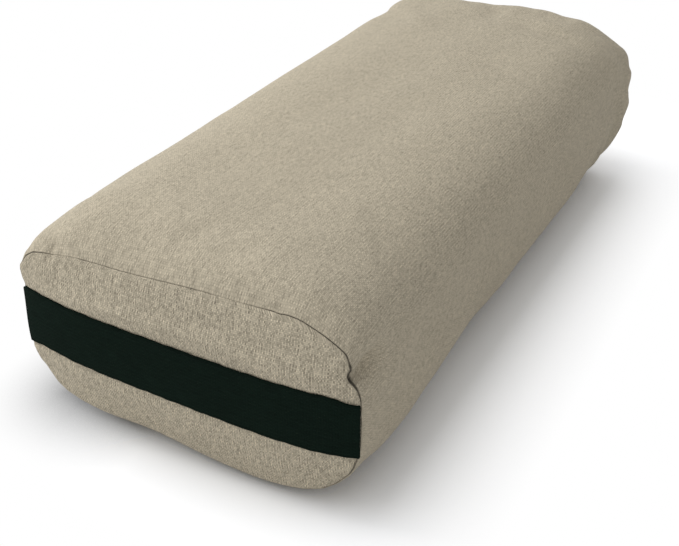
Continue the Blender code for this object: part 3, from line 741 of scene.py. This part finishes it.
def paint_seam_shade(thing, steps):
    """Store painted shade for each vertex, 0 to 1, by how deep it lies in a seam or fold; steps count from a
    seam's edge inwards.
    """
    points = points_of(thing)
    inward = np.concatenate([steps, np.full(len(points) - len(steps), OUTSIDE_SEAM)])
    # Painted shade: darker deeper in the seam, reaching further out at the pucker, lighter where the seam
    # fades, and darker in the folds.
    pulled = near(points, PUCKER_PAINTED_SHADE, PUCKER_PAINTED_SHADE_SIZE)
    seam_painted_shade = smoothstep(*SEAM_PAINTED_SHADE_STEPS, inward + 3.8 * pulled) * (1.0 - seam_fades(points) + 0.25 * pulled)
    layer = thing.data.attributes.new("painted_seam_shade", "FLOAT", "POINT")
    layer.data.foreach_set("value", np.maximum(seam_painted_shade, painted_fold_shade(points)).astype(np.float32))


def finish_piece(thing, material, node, body="bolster"):
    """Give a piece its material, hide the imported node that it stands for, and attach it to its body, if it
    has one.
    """
    thing.data.materials.append(material)
    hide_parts(node)
    if body:
        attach(thing, body)


def build_cover(linen, panel_linen, places, body, ends):
    """Wrap and both end panels, which roll into the seams between them."""
    columns = body.shape[1]
    rolls = {}
    for side, end in ends.items():
        rolls[side], end["roll"], end["dive"] = seam_rolls(end, body[0] if side < 0 else body[-1], side)
    rows = np.concatenate([rolls[-1][::-1], body, rolls[1]])
    extra = np.arange(1, len(rolls[1]) + 1) * ROLL_CLOTH + SEAM_CLEAR - 0.0015
    places = np.concatenate([places[0] - extra[::-1], places, places[-1] + extra])
    faces = quads(len(rows), columns, True)
    uv = wrap_uv(places, columns, faces)
    vertices = rows.reshape(-1, 3)
    x, y, z = wrap_grid(places, FINER).reshape(-1, 3)[faces].mean(axis=1).T
    in_slot = (z > ZIP_LOW) & (z < ZIP_HIGH) & (np.abs(y) < ZIP_END) & (x < -0.13)
    hem_vertices, hem_faces, hem_uv = slot_hem(vertices, faces[in_slot])
    faces = np.concatenate([faces[~in_slot], hem_faces])
    uv = np.concatenate([uv[~in_slot], hem_uv])
    wrap = new_mesh("cover_wrap", np.concatenate([vertices, hem_vertices]), faces, uv)
    inward = np.arange(ROLL_STEPS + 2.0)
    steps = np.concatenate([inward[::-1], np.full(len(body), OUTSIDE_SEAM), inward])
    paint_seam_shade(wrap, np.repeat(steps, columns))
    finish_piece(wrap, linen, "cover_wrap_panel")
    for side, label in SIDES.items():
        panel = new_mesh(f"cover_{label}", *panel_mesh(side, ends[side]))
        middle = np.full(ends[side]["grid"][..., 0].size, OUTSIDE_SEAM)
        paint_seam_shade(panel, np.concatenate([middle, np.repeat(inward, len(ends[side]["edge"]))]))
        finish_piece(panel, panel_linen, f"cover_{label}_panel")


def sunk(grid, closed, towards):
    """Grid of points moved in below its face, whose outer side is told by a direction for each point."""
    across = np.roll(grid, -1, axis=1) - np.roll(grid, 1, axis=1) if closed else np.gradient(grid, axis=1)
    normals = unit(np.cross(across, np.gradient(grid, axis=0)))
    return grid - LINER_DEPTH * np.sign((normals * towards).sum(-1).mean()) * normals


def build_liner(muslin, body, ends):
    """Inner cover of the fill, which follows the outer one closely."""
    rows = sunk(body, True, body)[::3, ::2]
    rows[..., 2] = np.maximum(rows[..., 2], LINER_DEPTH)
    count = rows.shape[1]
    points = rows.reshape(-1, 3)
    faces = quads(len(rows), count, True)
    uv = np.stack([points[faces][..., 1], faces % count * LINER_CLOTH], -1)
    wrap = new_mesh("liner_wrap", points, faces, uv)
    finish_piece(wrap, muslin, "liner_wrap_panel")
    middle = np.array((0.0, 0.0, HEIGHT / 2))
    for side, label in SIDES.items():
        grid = sunk(ends[side]["grid"][::2, ::2], False, (0.0, side, 0.0))
        points = (middle + (grid - middle) * LINER_SHRINK).reshape(-1, 3)
        faces = quads(*grid.shape[:2], False)[:, ::side]
        panel = new_mesh(f"liner_{label}", points, faces, points[faces][..., [2, 0]])
        finish_piece(panel, muslin, f"liner_{label}_panel")


def build_camera():
    """Camera at the photo's place and angle."""
    data = settle(bpy.data.cameras.new("photo_camera"), sensor_width=SENSOR_WIDTH, clip_start=0.01)
    data.lens = FOCAL_PIXELS * SENSOR_WIDTH / PHOTO_WIDTH
    camera = new_object("photo_camera", data)
    camera.matrix_world = Matrix.Translation(CAMERA_PLACE)
    for angle, axis in ((CAMERA_YAW, "Z"), (math.pi / 2 + CAMERA_PITCH, "X"), (CAMERA_ROLL, "Z")):
        camera.matrix_world = camera.matrix_world @ Matrix.Rotation(angle, 4, axis)
    bpy.context.scene.camera = camera


class Signal:
    """What comes out of a node; sums with it add nodes to its tree."""

    def __init__(self, tree, socket):
        self.tree = tree
        self.socket = socket


def sum_method(operation, turned):
    """Method of a signal that adds a node for a sum with another value."""

    def method(self, other=0.0):
        one, other = (other, self) if turned else (self, other)
        return self.tree.add("Math", {0: one, 1: other}, operation=operation)

    return method


SUMS = {
    "ADD": ("__add__", "__radd__"), "SUBTRACT": ("__sub__", "__rsub__"), "MULTIPLY": ("__mul__",),
    "DIVIDE": ("__truediv__",), "POWER": ("__pow__",), "ABSOLUTE": ("__abs__",), "FLOOR": ("floor",),
    "SINE": ("sine",), "SQRT": ("root",), "MAXIMUM": ("at_least",), "MINIMUM": ("at_most",),
}
for operation, names in SUMS.items():
    for name in names:
        setattr(Signal, name, sum_method(operation, name.startswith("__r")))


class Tree:
    """Nodes of a material or of the world, with short ways to add and join them."""

    def __init__(self, node_tree):
        self.nodes = node_tree.nodes
        self.links = node_tree.links

    def feed(self, socket, value):
        """Join a socket to another one, or give it a value."""
        value = value.socket if isinstance(value, Signal) else value
        if isinstance(value, bpy.types.NodeSocket):
            self.links.new(value, socket)
        else:
            socket.default_value = value

    def add(self, kind, inputs, output=0, **settings):
        """New node with its settings and with what goes into it; gives what comes out of it."""
        node = settle(self.nodes.new("ShaderNode" + kind), **settings)
        for name, value in inputs.items():
            self.feed(node.inputs[name], value)
        return Signal(self, node.outputs[output])

    def vector(self, x, y, z=0.0):
        """Vector made from three values."""
        return self.add("CombineXYZ", {0: x, 1: y, 2: z})

    def split(self, vector):
        """The three values of a vector."""
        return [Signal(self, output) for output in self.add("SeparateXYZ", {0: vector}).socket.node.outputs]

    def noise(self, vector, scale, detail=2.0):
        """Smooth noise from 0 to 1, mostly near a half."""
        return self.add("TexNoise", {"Vector": vector, "Scale": scale, "Detail": detail})

    def speckle(self, vector):
        """Value from 0 to 1 that has nothing to do with its neighbours'."""
        return self.add("TexWhiteNoise", {"Vector": vector}, "Value", noise_dimensions="3D")

    def between(self, value, low, high, to_low=0.0, to_high=1.0):
        """Value moved from one range to another, and held inside it."""
        return self.add("MapRange", {0: value, 1: low, 2: high, 3: to_low, 4: to_high})

    def mix(self, share, one, other):
        """Colour between two colours."""
        return self.add("Mix", {0: share, 6: one, 7: other}, 2, data_type="RGBA")

    def mix_shader(self, share, one, other):
        """Shader between two shaders."""
        return self.add("MixShader", {0: share, 1: one, 2: other})

    def shade(self, colour, value):
        """Colour times a value."""
        return self.add("VectorMath", {0: colour, "Scale": value}, operation="SCALE")

    def seen(self):
        """1 for what the camera sees, directly or by gloss or glass, and 0 for light on the object."""
        path = self.add("LightPath", {}).socket.node.outputs
        kinds = ("Is Camera Ray", "Is Glossy Ray", "Is Transmission Ray")
        camera, glossy, glass = (Signal(self, path[kind]) for kind in kinds)
        return camera.at_least(glossy).at_least(glass)


class Surface(Tree):
    """A material's nodes."""

    def __init__(self, name, metallic=0.0, specular=0.5, sheen=0.0):
        self.material = bpy.data.materials.new(name)
        self.material.use_nodes = True
        super().__init__(self.material.node_tree)
        self.shader = self.nodes["Principled BSDF"]
        values = {"Metallic": metallic, "Specular IOR Level": specular, "Sheen Weight": sheen}
        for socket, value in {**values, "Sheen Roughness": 0.5}.items():
            self.shader.inputs[socket].default_value = value

    def finish(self, colour, roughness, height, depth):
        """Join colour, roughness and relief to the shader."""
        relief = self.add("Bump", {"Distance": depth, "Height": height})
        for socket, value in {"Normal": relief, "Base Color": colour, "Roughness": roughness}.items():
            self.feed(self.shader.inputs[socket], value)
        return self.material

    def cloth_place(self):
        """Place on the cloth in metres along and across its main threads."""
        return self.split(self.add("UVMap", {}, uv_map="cloth"))[:2]

    def object_place(self):
        """Place on an object in metres."""
        return self.add("TexCoord", {}, "Object")


def colour(red, green, blue):
    """Linear colour of screen values from 0 to 255."""
    return tuple(((value / 255 + 0.055) / 1.055) ** 2.4 for value in (red, green, blue))


def weave(tree, along, across, pitch, seed):
    """Plain weave: relief, tones of floats and of whole threads, grain and patches, each from 0 to 1."""
    place = tree.vector(along, across, seed)
    u = along / (pitch * FLOAT_LENGTH) + (tree.noise(place, 45.0) - 0.5) * WANDER
    v = across / pitch + (tree.noise(tree.vector(across, along, seed + 3.0), 45.0) - 0.5) * WANDER
    u_wave, v_wave = (u * math.pi).sine(), (v * math.pi).sine()
    over = (u_wave * v_wave * 1.4 + 0.5).at_least(0.0).at_most(1.0)
    main = abs(v_wave) * over
    cross = abs(u_wave) * (1.0 - over)
    return {
        "relief": main + cross * CROSS_HEIGHT + v_wave * RIB_HEIGHT,
        "floats": tree.speckle(tree.vector(u.floor(), v.floor(), seed)),
        "main": tree.noise(tree.vector(v.floor() * 13.7, u * THREAD_CHANGE, seed), 1.0),
        "cross": tree.noise(tree.vector(u.floor() * 13.7, v * THREAD_CHANGE, seed + 9.0), 1.0),
        "grain": tree.noise(place, 1.7 / pitch, 0.0),
        "patches": tree.noise(place, 16.0, 2.0),
    }


def varied(start, signals, contrast=1.0, **parts):
    """Start plus each named signal, from which its middle is taken, times its weight."""
    for name, (middle, weight) in parts.items():
        start = (signals[name] - middle) * (weight * contrast) + start
    return start


def make_linen(name, contrast):
    """Greige linen with uneven threads, darker and lighter flecks and soft patches, and painted shade in the
    seams and folds.
    """
    tree = Surface(name, specular=0.2, sheen=0.03)
    along, across = tree.cloth_place()
    cloth = weave(tree, along, across, 0.00105, 1.0)
    # Painted shade in the weave: the relief term makes the cloth lighter on the threads' crowns and darker
    # between them; the other terms are the threads' own tones.
    value = varied(
        1.0, cloth, contrast, relief=(0.51, 0.72), floats=(0.5, 0.50), main=(0.5, 0.80),
        cross=(0.5, 0.15), grain=(0.5, 0.05), patches=(0.5, 0.14),
    )
    # Painted shade: the cloth is up to 72 % darker where it lies deep in a seam or fold.
    seam = tree.add("Attribute", {}, "Fac", attribute_name="painted_seam_shade")
    base = tree.shade(LINEN_COLOUR, value * (seam * -0.72 + 1.0))
    slub = tree.noise(tree.vector(along * 0.30, across, 5.0), 620.0, 0.0)
    cross_slub = tree.noise(tree.vector(across * 0.30, along, 8.0), 620.0, 0.0)
    base = tree.mix(tree.between(slub, 0.68, 0.76, 0.0, 0.55), base, tree.shade(LINEN_COLOUR, 0.55))
    base = tree.mix(tree.between(cross_slub, 0.72, 0.80, 0.0, 0.35), base, tree.shade(LINEN_COLOUR, 1.35))
    rough = varied(0.9, cloth, relief=(0.6, -0.12), grain=(0.5, 0.2))
    height = varied(cloth["relief"], cloth, floats=(0.5, 0.2), main=(0.5, 1.0), cross=(0.5, 0.2))
    return tree.finish(base, rough, height, 0.00010)


def make_muslin():
    """Unbleached cotton of the liner."""
    tree = Surface("muslin_cloth", specular=0.25, sheen=0.05)
    cloth = weave(tree, *tree.cloth_place(), 0.0006, 21.0)
    # Painted shade in the weave: the relief term makes the cloth a little lighter on the threads' crowns and
    # darker between them.
    value = varied(1.0, cloth, relief=(0.6, 0.06), main=(0.5, 0.25), grain=(0.5, 0.12), patches=(0.5, 0.08))
    rough = varied(0.92, cloth, relief=(0.6, -0.1))
    return tree.finish(tree.shade(colour(232, 225, 208), value), rough, cloth["relief"], 0.00012)


def make_webbing():
    """Very dark green webbing, ribbed across, with a firmer border along each edge."""
    tree = Surface("handle_webbing", specular=0.03)
    along, across = tree.cloth_place()
    cloth = weave(tree, along, across, 0.0016, 31.0)
    border = tree.between(abs(across), STRAP_WIDTH / 2 - 0.0030, STRAP_WIDTH / 2 - 0.0022)
    # Painted shade in the weave: the relief term makes the webbing lighter on the threads' crowns and darker
    # between them.
    value = varied(1.0, cloth, main=(0.5, 0.7), grain=(0.5, 0.5), relief=(0.6, 0.25), patches=(0.5, 0.3))
    rough = varied(0.88, cloth, relief=(0.6, -0.15), grain=(0.5, 0.15))
    base = tree.shade(WEBBING_COLOUR, border * -0.12 + value)
    return tree.finish(base, rough, border * 0.6 + cloth["relief"], 0.0003)


def make_zip_tape():
    """Fine woven tape of the zip."""
    tree = Surface("zip_tape_cloth", specular=0.25)
    cloth = weave(tree, *tree.split(tree.object_place())[1:], 0.0005, 41.0)
    # Painted shade in the weave: the relief term makes the tape lighter on the threads' crowns and darker
    # between them.
    value = varied(1.0, cloth, relief=(0.6, 0.12), main=(0.5, 0.3), grain=(0.5, 0.15), patches=(0.5, 0.1))
    rough = varied(0.85, cloth, relief=(0.6, -0.1))
    return tree.finish(tree.shade(colour(158, 146, 126), value), rough, cloth["relief"], 0.0001)


def make_thread():
    """Sewing thread, twisted and a little shinier than the cloth."""
    tree = Surface("sewing_thread", specular=0.4, sheen=0.05)
    along, across = tree.cloth_place()
    twist = (along * 9000.0 + across * 9000.0).sine()
    tone = tree.noise(tree.vector(along, across, 51.0), 90.0) - 0.5
    # Painted shade on the twist: the twist term makes the thread lighter on its ridges and darker in its
    # grooves; the tone term is its own.
    base = tree.shade(colour(160, 150, 133), twist * 0.10 + 1.0 + tone * 0.35)
    return tree.finish(base, tone * 0.3 + 0.6, twist, 0.00004)


def make_coil():
    """Nylon of the zip's coils."""
    tree = Surface("zip_nylon", specular=0.5)
    tone = tree.noise(tree.object_place(), 160.0) - 0.5
    scuffs = tree.noise(tree.object_place(), 1400.0)
    worn = scuffs - 0.5
    base = tree.shade(colour(147, 137, 119), tone * 0.25 + 1.0 + worn * 0.15)
    return tree.finish(base, tone * 0.3 + 0.42 + worn * 0.2, scuffs, 0.00003)


def make_metal():
    """Worn antique brass of the slider, the pull and the stops."""
    tree = Surface("antique_brass", metallic=1.0)
    place = tree.object_place()
    stain = tree.noise(place, 220.0, 4.0)
    x, y, z = tree.split(place)
    scratches = tree.noise(tree.vector(x, y * 0.12, z), 2600.0)
    dull, bright = (*colour(98, 80, 52), 1.0), (*colour(172, 148, 104), 1.0)
    base = tree.mix(tree.between(stain, 0.42, 0.62), dull, bright)
    base = tree.shade(base, (scratches - 0.5) * 0.3 + 1.0)
    rough = (stain - 0.5) * 0.45 + 0.36 + (scratches - 0.5) * 0.3
    return tree.finish(base, rough, scratches, 0.00003)


def make_cotton():
    """Raw cotton batting."""
    tree = Surface("cotton_batting", specular=0.2, sheen=0.2)
    fluff = tree.noise(tree.object_place(), 70.0, 6.0)
    fibres = tree.noise(tree.object_place(), 900.0, 3.0) - 0.5
    base = tree.shade(colour(236, 232, 221), (fluff - 0.5) * 0.25 + 1.0 + fibres * 0.2)
    return tree.finish(base, fibres * 0.1 + 0.95, fibres * 0.6 + fluff, 0.002)


def make_floor():
    """White floor; the camera sees it with the lamps' shadow and a painted shadow close to the object, and
    pure white further away.
    """
    tree = Surface("studio_floor", specular=0.0)
    place = tree.object_place()
    dust = tree.noise(place, 8.0)
    tree.finish(tree.shade((1.0, 1.0, 1.0), (dust - 0.5) * 0.02 + 0.8), 1.0, dust, 0.0001)
    # Painted shadow: the seen colour, and on the left a glow, are darkened by how much the object closes the
    # floor off.
    open_sky = tree.add("AmbientOcclusion", {"Distance": FLOOR_NEAR}, "AO", samples=8)
    lit = tree.add("BsdfDiffuse", {"Color": tree.shade(FLOOR_SEEN, open_sky**FLOOR_POWER)})
    even = tree.add("Emission", {"Strength": open_sky**FLOOR_LEFT_POWER})
    x, y, z = tree.split(place)
    left_share = tree.between(x, *FLOOR_LEFT, 1.0, 0.0)
    beside = (abs(x) - FLOOR_CORE[0]).at_least(0.0)
    ahead = (-FLOOR_CORE[1] - y).at_least(0.0)
    beyond = ahead + (y - FLOOR_CORE[1]).at_least(0.0) * FLOOR_BEHIND
    away = left_share * FLOOR_LEFT_SOONER + (beside * beside + beyond * beyond).root()
    shown = tree.mix_shader(left_share, lit, even)
    shown = tree.mix_shader(tree.between(away, *FLOOR_FADE), shown, tree.add("Emission", {}))
    shown = tree.mix_shader(tree.seen(), tree.shader.outputs[0], shown)
    tree.feed(tree.nodes["Material Output"].inputs["Surface"], shown)
    return tree.material


def dress(name, material, bevel=None):
    """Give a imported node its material, and its edges a small rounding."""
    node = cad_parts[name]
    node.data.materials.clear()
    node.data.materials.append(material)
    if bevel:
        rounding = node.modifiers.new("rounding", "BEVEL")
        settle(rounding, width=bevel, segments=3, limit_method="ANGLE")
        node.modifiers.new("even shading", "WEIGHTED_NORMAL")
    return node


def soften_batting(cotton):
    """Packed layers of the fill: rounded, a little uneven and well inside the liner."""
    lumps = bpy.data.textures.new("batting_lumps", "CLOUDS")
    lumps.noise_scale = 0.03
    for number in range(1, 6):
        change = dress(f"batting_layer_{number}", cotton).modifiers
        settle(change.new("even mesh", "REMESH"), mode="VOXEL", voxel_size=0.006, use_smooth_shade=True)
        settle(change.new("rounding", "SMOOTH"), iterations=6)
        settle(change.new("slack", "DISPLACE"), strength=-0.0035, mid_level=0.0)
        settle(change.new("lumps", "DISPLACE"), texture=lumps, strength=0.0030, mid_level=1.0)


def circle(radius):
    """Points of a wire's section."""
    turn = np.arange(WIRE_SIDES) * 2 * math.pi / WIRE_SIDES
    return radius * np.column_stack([np.cos(turn), np.sin(turn)])


def sweep(path, outs, ups, section, offset=0):
    """Vertices and faces of a section of (out, up) points carried along a path."""
    rows = path[:, None] + section[:, :1] * outs[:, None] + section[:, 1:] * ups[:, None]
    count = len(section)
    faces = [tuple(face) for face in quads(len(rows), count, True, offset)]
    faces.append(tuple(offset + i for i in range(count))[::-1])
    faces.append(tuple(offset + (len(rows) - 1) * count + i for i in range(count)))
    return rows.reshape(-1, 3), faces


def strap_section():
    """Outline of the webbing's cross-section as (out, up) points, with rounded edges."""
    half, radius = STRAP_WIDTH / 2, STRAP_THICKNESS * 0.42
    points = []
    corners = ((0.0, half), (0.0, -half), (-STRAP_THICKNESS, -half), (-STRAP_THICKNESS, half))
    for turn, (out, up) in enumerate(corners):
        centre = (out - math.copysign(radius, out + STRAP_THICKNESS / 2), up - math.copysign(radius, up))
        for angle in (1 - turn) * math.pi / 2 - np.arange(4) * math.pi / 6:
            points.append((centre[0] + radius * math.cos(angle), centre[1] + radius * math.sin(angle)))
        if turn in (0, 2):
            span = np.linspace(half - radius, radius - half, 14)[1:-1] * (1 - turn)
            points.extend((out, value) for value in span)
    return np.array(points)


def strap_path():
    """Strap's outer face in plan from the -X seam to the +X seam: places, outward directions, lengths."""
    leg = np.linspace(GRIP_HALF, STRAP_TURN, 42)[1:]
    flat = np.concatenate([-leg[::-1], np.linspace(-GRIP_HALF, GRIP_HALF, 66), leg])
    points = np.column_stack([flat, strap_outer(flat)])
    place = points[-1]
    angle = math.atan2(*(place - points[-2])[::-1])
    bend = []
    for count, turn, length in STRAP_BEND:
        for _ in range(count):
            angle += math.radians(turn)
            place = place + length * np.array((math.cos(angle), math.sin(angle)))
            bend.append(place)
    bend = np.array(bend)
    points = np.concatenate([bend[::-1] * (-1.0, 1.0), points, bend])
    along = unit(np.gradient(points, axis=0))
    lengths = np.concatenate([[0.0], np.cumsum(np.linalg.norm(np.diff(points, axis=0), axis=1))])
    return points, np.column_stack([along[:, 1], -along[:, 0]]), lengths - lengths[-1] / 2


def strap_shift(x):
    """How far the strap lies above its level place: tilted, and pulled down a little at both ends."""
    level = -STRAP_TILT * x / STRAP_RIM - 0.0014 * smoothstep(-0.1474, -0.1492, x)
    return level - 0.0024 * smoothstep(-0.128, -0.149, x) - 0.0009 * smoothstep(0.122, 0.149, x)


def strap_spread(x):
    """Share of the strap's width that shows: more near its left end, less where both ends are gathered."""
    gathered = 0.055 * smoothstep(-0.1474, -0.1492, x) + 0.09 * smoothstep(0.122, 0.149, x)
    return 1.0 + 0.05 * smoothstep(-0.128, -0.149, x) - gathered


def build_strap(webbing):
    """Handle: one strap of webbing in three stretches, the middle one on the moving body."""
    points, outward, lengths = strap_path()
    section = strap_section()
    x = points[:, 0]
    unevenness = 0.00022 * np.sin(lengths * 210.0) + 0.00016 * np.sin(lengths * 470.0 + 1.3)
    path = np.column_stack([points, STRAP_MIDDLE + (unevenness + strap_shift(x))])
    outs = np.column_stack([outward, np.zeros(len(x))])
    ups = strap_spread(x)[:, None] * (0.0, 0.0, 1.0)
    stretches = {
        "handle_left": ("handle_left_leg", x <= -GRIP_HALF + 1e-6),
        "handle_middle": ("handle_grip", np.abs(x) <= GRIP_HALF + 1e-6),
        "handle_right": ("handle_right_leg", x >= GRIP_HALF - 1e-6),
    }
    for name, (node, chosen) in stretches.items():
        vertices, faces = sweep(path[chosen], outs[chosen], ups[chosen], section)
        vertices[:, 0] -= left_swell(vertices)
        rows = np.repeat(lengths[chosen], len(section))
        across = np.tile(section[:, 1], chosen.sum())
        strap = new_mesh(name, vertices, faces, [(rows[i], across[i]) for face in faces for i in face])
        strap.data.set_sharp_from_angle(angle=math.radians(65))
        moves = name == "handle_middle"
        finish_piece(strap, webbing, node, "handle" if moves else None)
        if not moves:
            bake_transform(strap)


def build_coils(nylon):
    """Both coils of the zip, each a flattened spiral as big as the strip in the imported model."""
    wire, pitch, steps = 0.00033, 0.0014, 12
    for label in ("upper", "lower"):
        low, high = np.array(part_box(f"zip_coil_{label}"))
        middle, reach = (low + high) / 2, (high - low) / 2 - wire
        turns = round((high[1] - low[1]) / pitch)
        angle = np.linspace(0.0, 2 * math.pi * turns, turns * steps + 1)
        spoke = np.column_stack([np.cos(angle), np.zeros(len(angle)), np.sin(angle)])
        path = middle + reach * spoke
        path[:, 1] = np.linspace(low[1] + wire, high[1] - wire, len(angle))
        along = unit(np.gradient(path, axis=0))
        out = unit(spoke - (spoke * along).sum(-1, keepdims=True) * along)
        coil = new_mesh(f"coil_{label}", *sweep(path, out, np.cross(along, out), circle(wire)))
        finish_piece(coil, nylon, f"zip_coil_{label}")


def stitches(name, path, outward, thread, node, length=0.0026, gap=0.0006, radius=0.00026):
    """A row of stitches along a closed path, each a small pad of thread that dips at both ends."""
    track = np.hstack([path, outward])
    track = np.vstack([track, track[:1]])
    travelled = np.linalg.norm(np.diff(track[:, :3], axis=0), axis=1)
    travelled = np.concatenate([[0.0], np.cumsum(travelled)])
    count = round(travelled[-1] / (length + gap))
    share = np.linspace(-0.5, 0.5, 7)
    size = np.sqrt(np.maximum(1.0 - (2 * np.abs(share)) ** 4, 0.08))[:, None]
    vertices, faces, uv = [], [], []
    for number in range(count):
        start = number * len(share) * WIRE_SIDES
        at = np.clip((number + 0.5) / count * travelled[-1] + share * length, 0.0, travelled[-1])
        place = np.column_stack([np.interp(at, travelled, values) for values in track.T])
        out = unit(place[:, 3:])
        spine = place[:, :3] - out * (0.00045 * (2 * np.abs(share[:, None])) ** 3)
        side = unit(np.cross(unit(np.gradient(spine, axis=0)), out))
        new_vertices, new_faces = sweep(spine, size * out, size * side, circle(radius), start)
        vertices.append(new_vertices)
        faces.extend(new_faces)
        for face in new_faces:
            numbers = np.array(face) - start
            uv.extend(zip(numbers // WIRE_SIDES * length / 6, numbers % WIRE_SIDES * 0.00025))
    finish_piece(new_mesh(name, np.concatenate(vertices), faces, uv), thread, node)


def build_threads(thread, ends):
    """Stitches of the end seams, down in the seams, and the row round the zip."""
    for side, label in SIDES.items():
        dive = ends[side]["dive"]
        path = ends[side]["seam"] + THREAD_DEPTH * dive
        stitches(f"{label}_seam_stitches", path, -dive, thread, f"{label}_seam_thread")
    low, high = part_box("zip_topstitch_thread")
    y, z_low, z_high = high[1] - TOPSTITCH_INSET, low[2] + TOPSTITCH_INSET, high[2] - TOPSTITCH_INSET
    corners = np.array(((-y, z_low), (y, z_low), (y, z_high), (-y, z_high)))
    path = []
    for one, other in zip(corners, np.roll(corners, -1, axis=0)):
        steps = max(round(np.linalg.norm(other - one) / 0.002), 2)
        path.extend((ZIP_FACE - 0.0001, *(one + (other - one) * i / steps)) for i in range(steps))
    outward = np.tile((-1.0, 0.0, 0.0), (len(path), 1))
    stitches("zip_topstitching", np.array(path), outward, thread, "zip_topstitch_thread")


def build_zip(tape, nylon, metal):
    """Tapes, coils, stops, slider and pull."""
    for label in ("upper", "lower"):
        dress(f"zip_tape_{label}", tape)
        dress(f"zip_top_stop_{label}", metal, 0.0003)
    dress("zip_bottom_stop", metal, 0.0003)
    dress("zip_slider", metal, 0.00035)
    dress("zip_pull_tab", metal, 0.0003)
    build_coils(nylon)


def build_studio():
    """Floor, world and lamps; the world is white to the camera and lights the object more from the left."""
    floor = new_mesh("floor", [(-6, -6, 0), (6, -6, 0), (6, 6, 0), (-6, 6, 0)], [(0, 1, 2, 3)], smooth=False)
    floor.data.materials.append(make_floor())
    world = bpy.data.worlds.new("studio")
    bpy.context.scene.world = world
    world.use_nodes = True
    tree = Tree(world.node_tree)
    towards = tree.split(tree.add("TexCoord", {}, "Generated"))[0]
    light = towards.at_most(0.0) * -WORLD_LEFT + WORLD_EVEN
    seen = tree.seen()
    background = tree.nodes["Background"]
    background.inputs["Color"].default_value = (1, 1, 1, 1)
    tree.feed(background.inputs["Strength"], (light * (1.0 - seen)).at_least(seen))
    for name, (place, size, energy) in LAMPS.items():
        lamp = new_object(name, settle(bpy.data.lights.new(name, "AREA"), energy=energy, size=size))
        lamp.location = place
        lamp.rotation_euler = (Vector(LAMP_TARGET) - Vector(place)).to_track_quat("-Z", "Y").to_euler()


linen = make_linen("linen_wrap", 0.66)
panel_linen = make_linen("linen_panels", 1.05)
thread = make_thread()
places, body, ends = shape_cover()
build_cover(linen, panel_linen, places, body, ends)
build_liner(make_muslin(), body, ends)
build_threads(thread, ends)
build_strap(make_webbing())
build_zip(make_zip_tape(), make_coil(), make_metal())
soften_batting(make_cotton())
build_camera()
build_studio()
bpy.context.scene.view_settings.view_transform = "Standard"
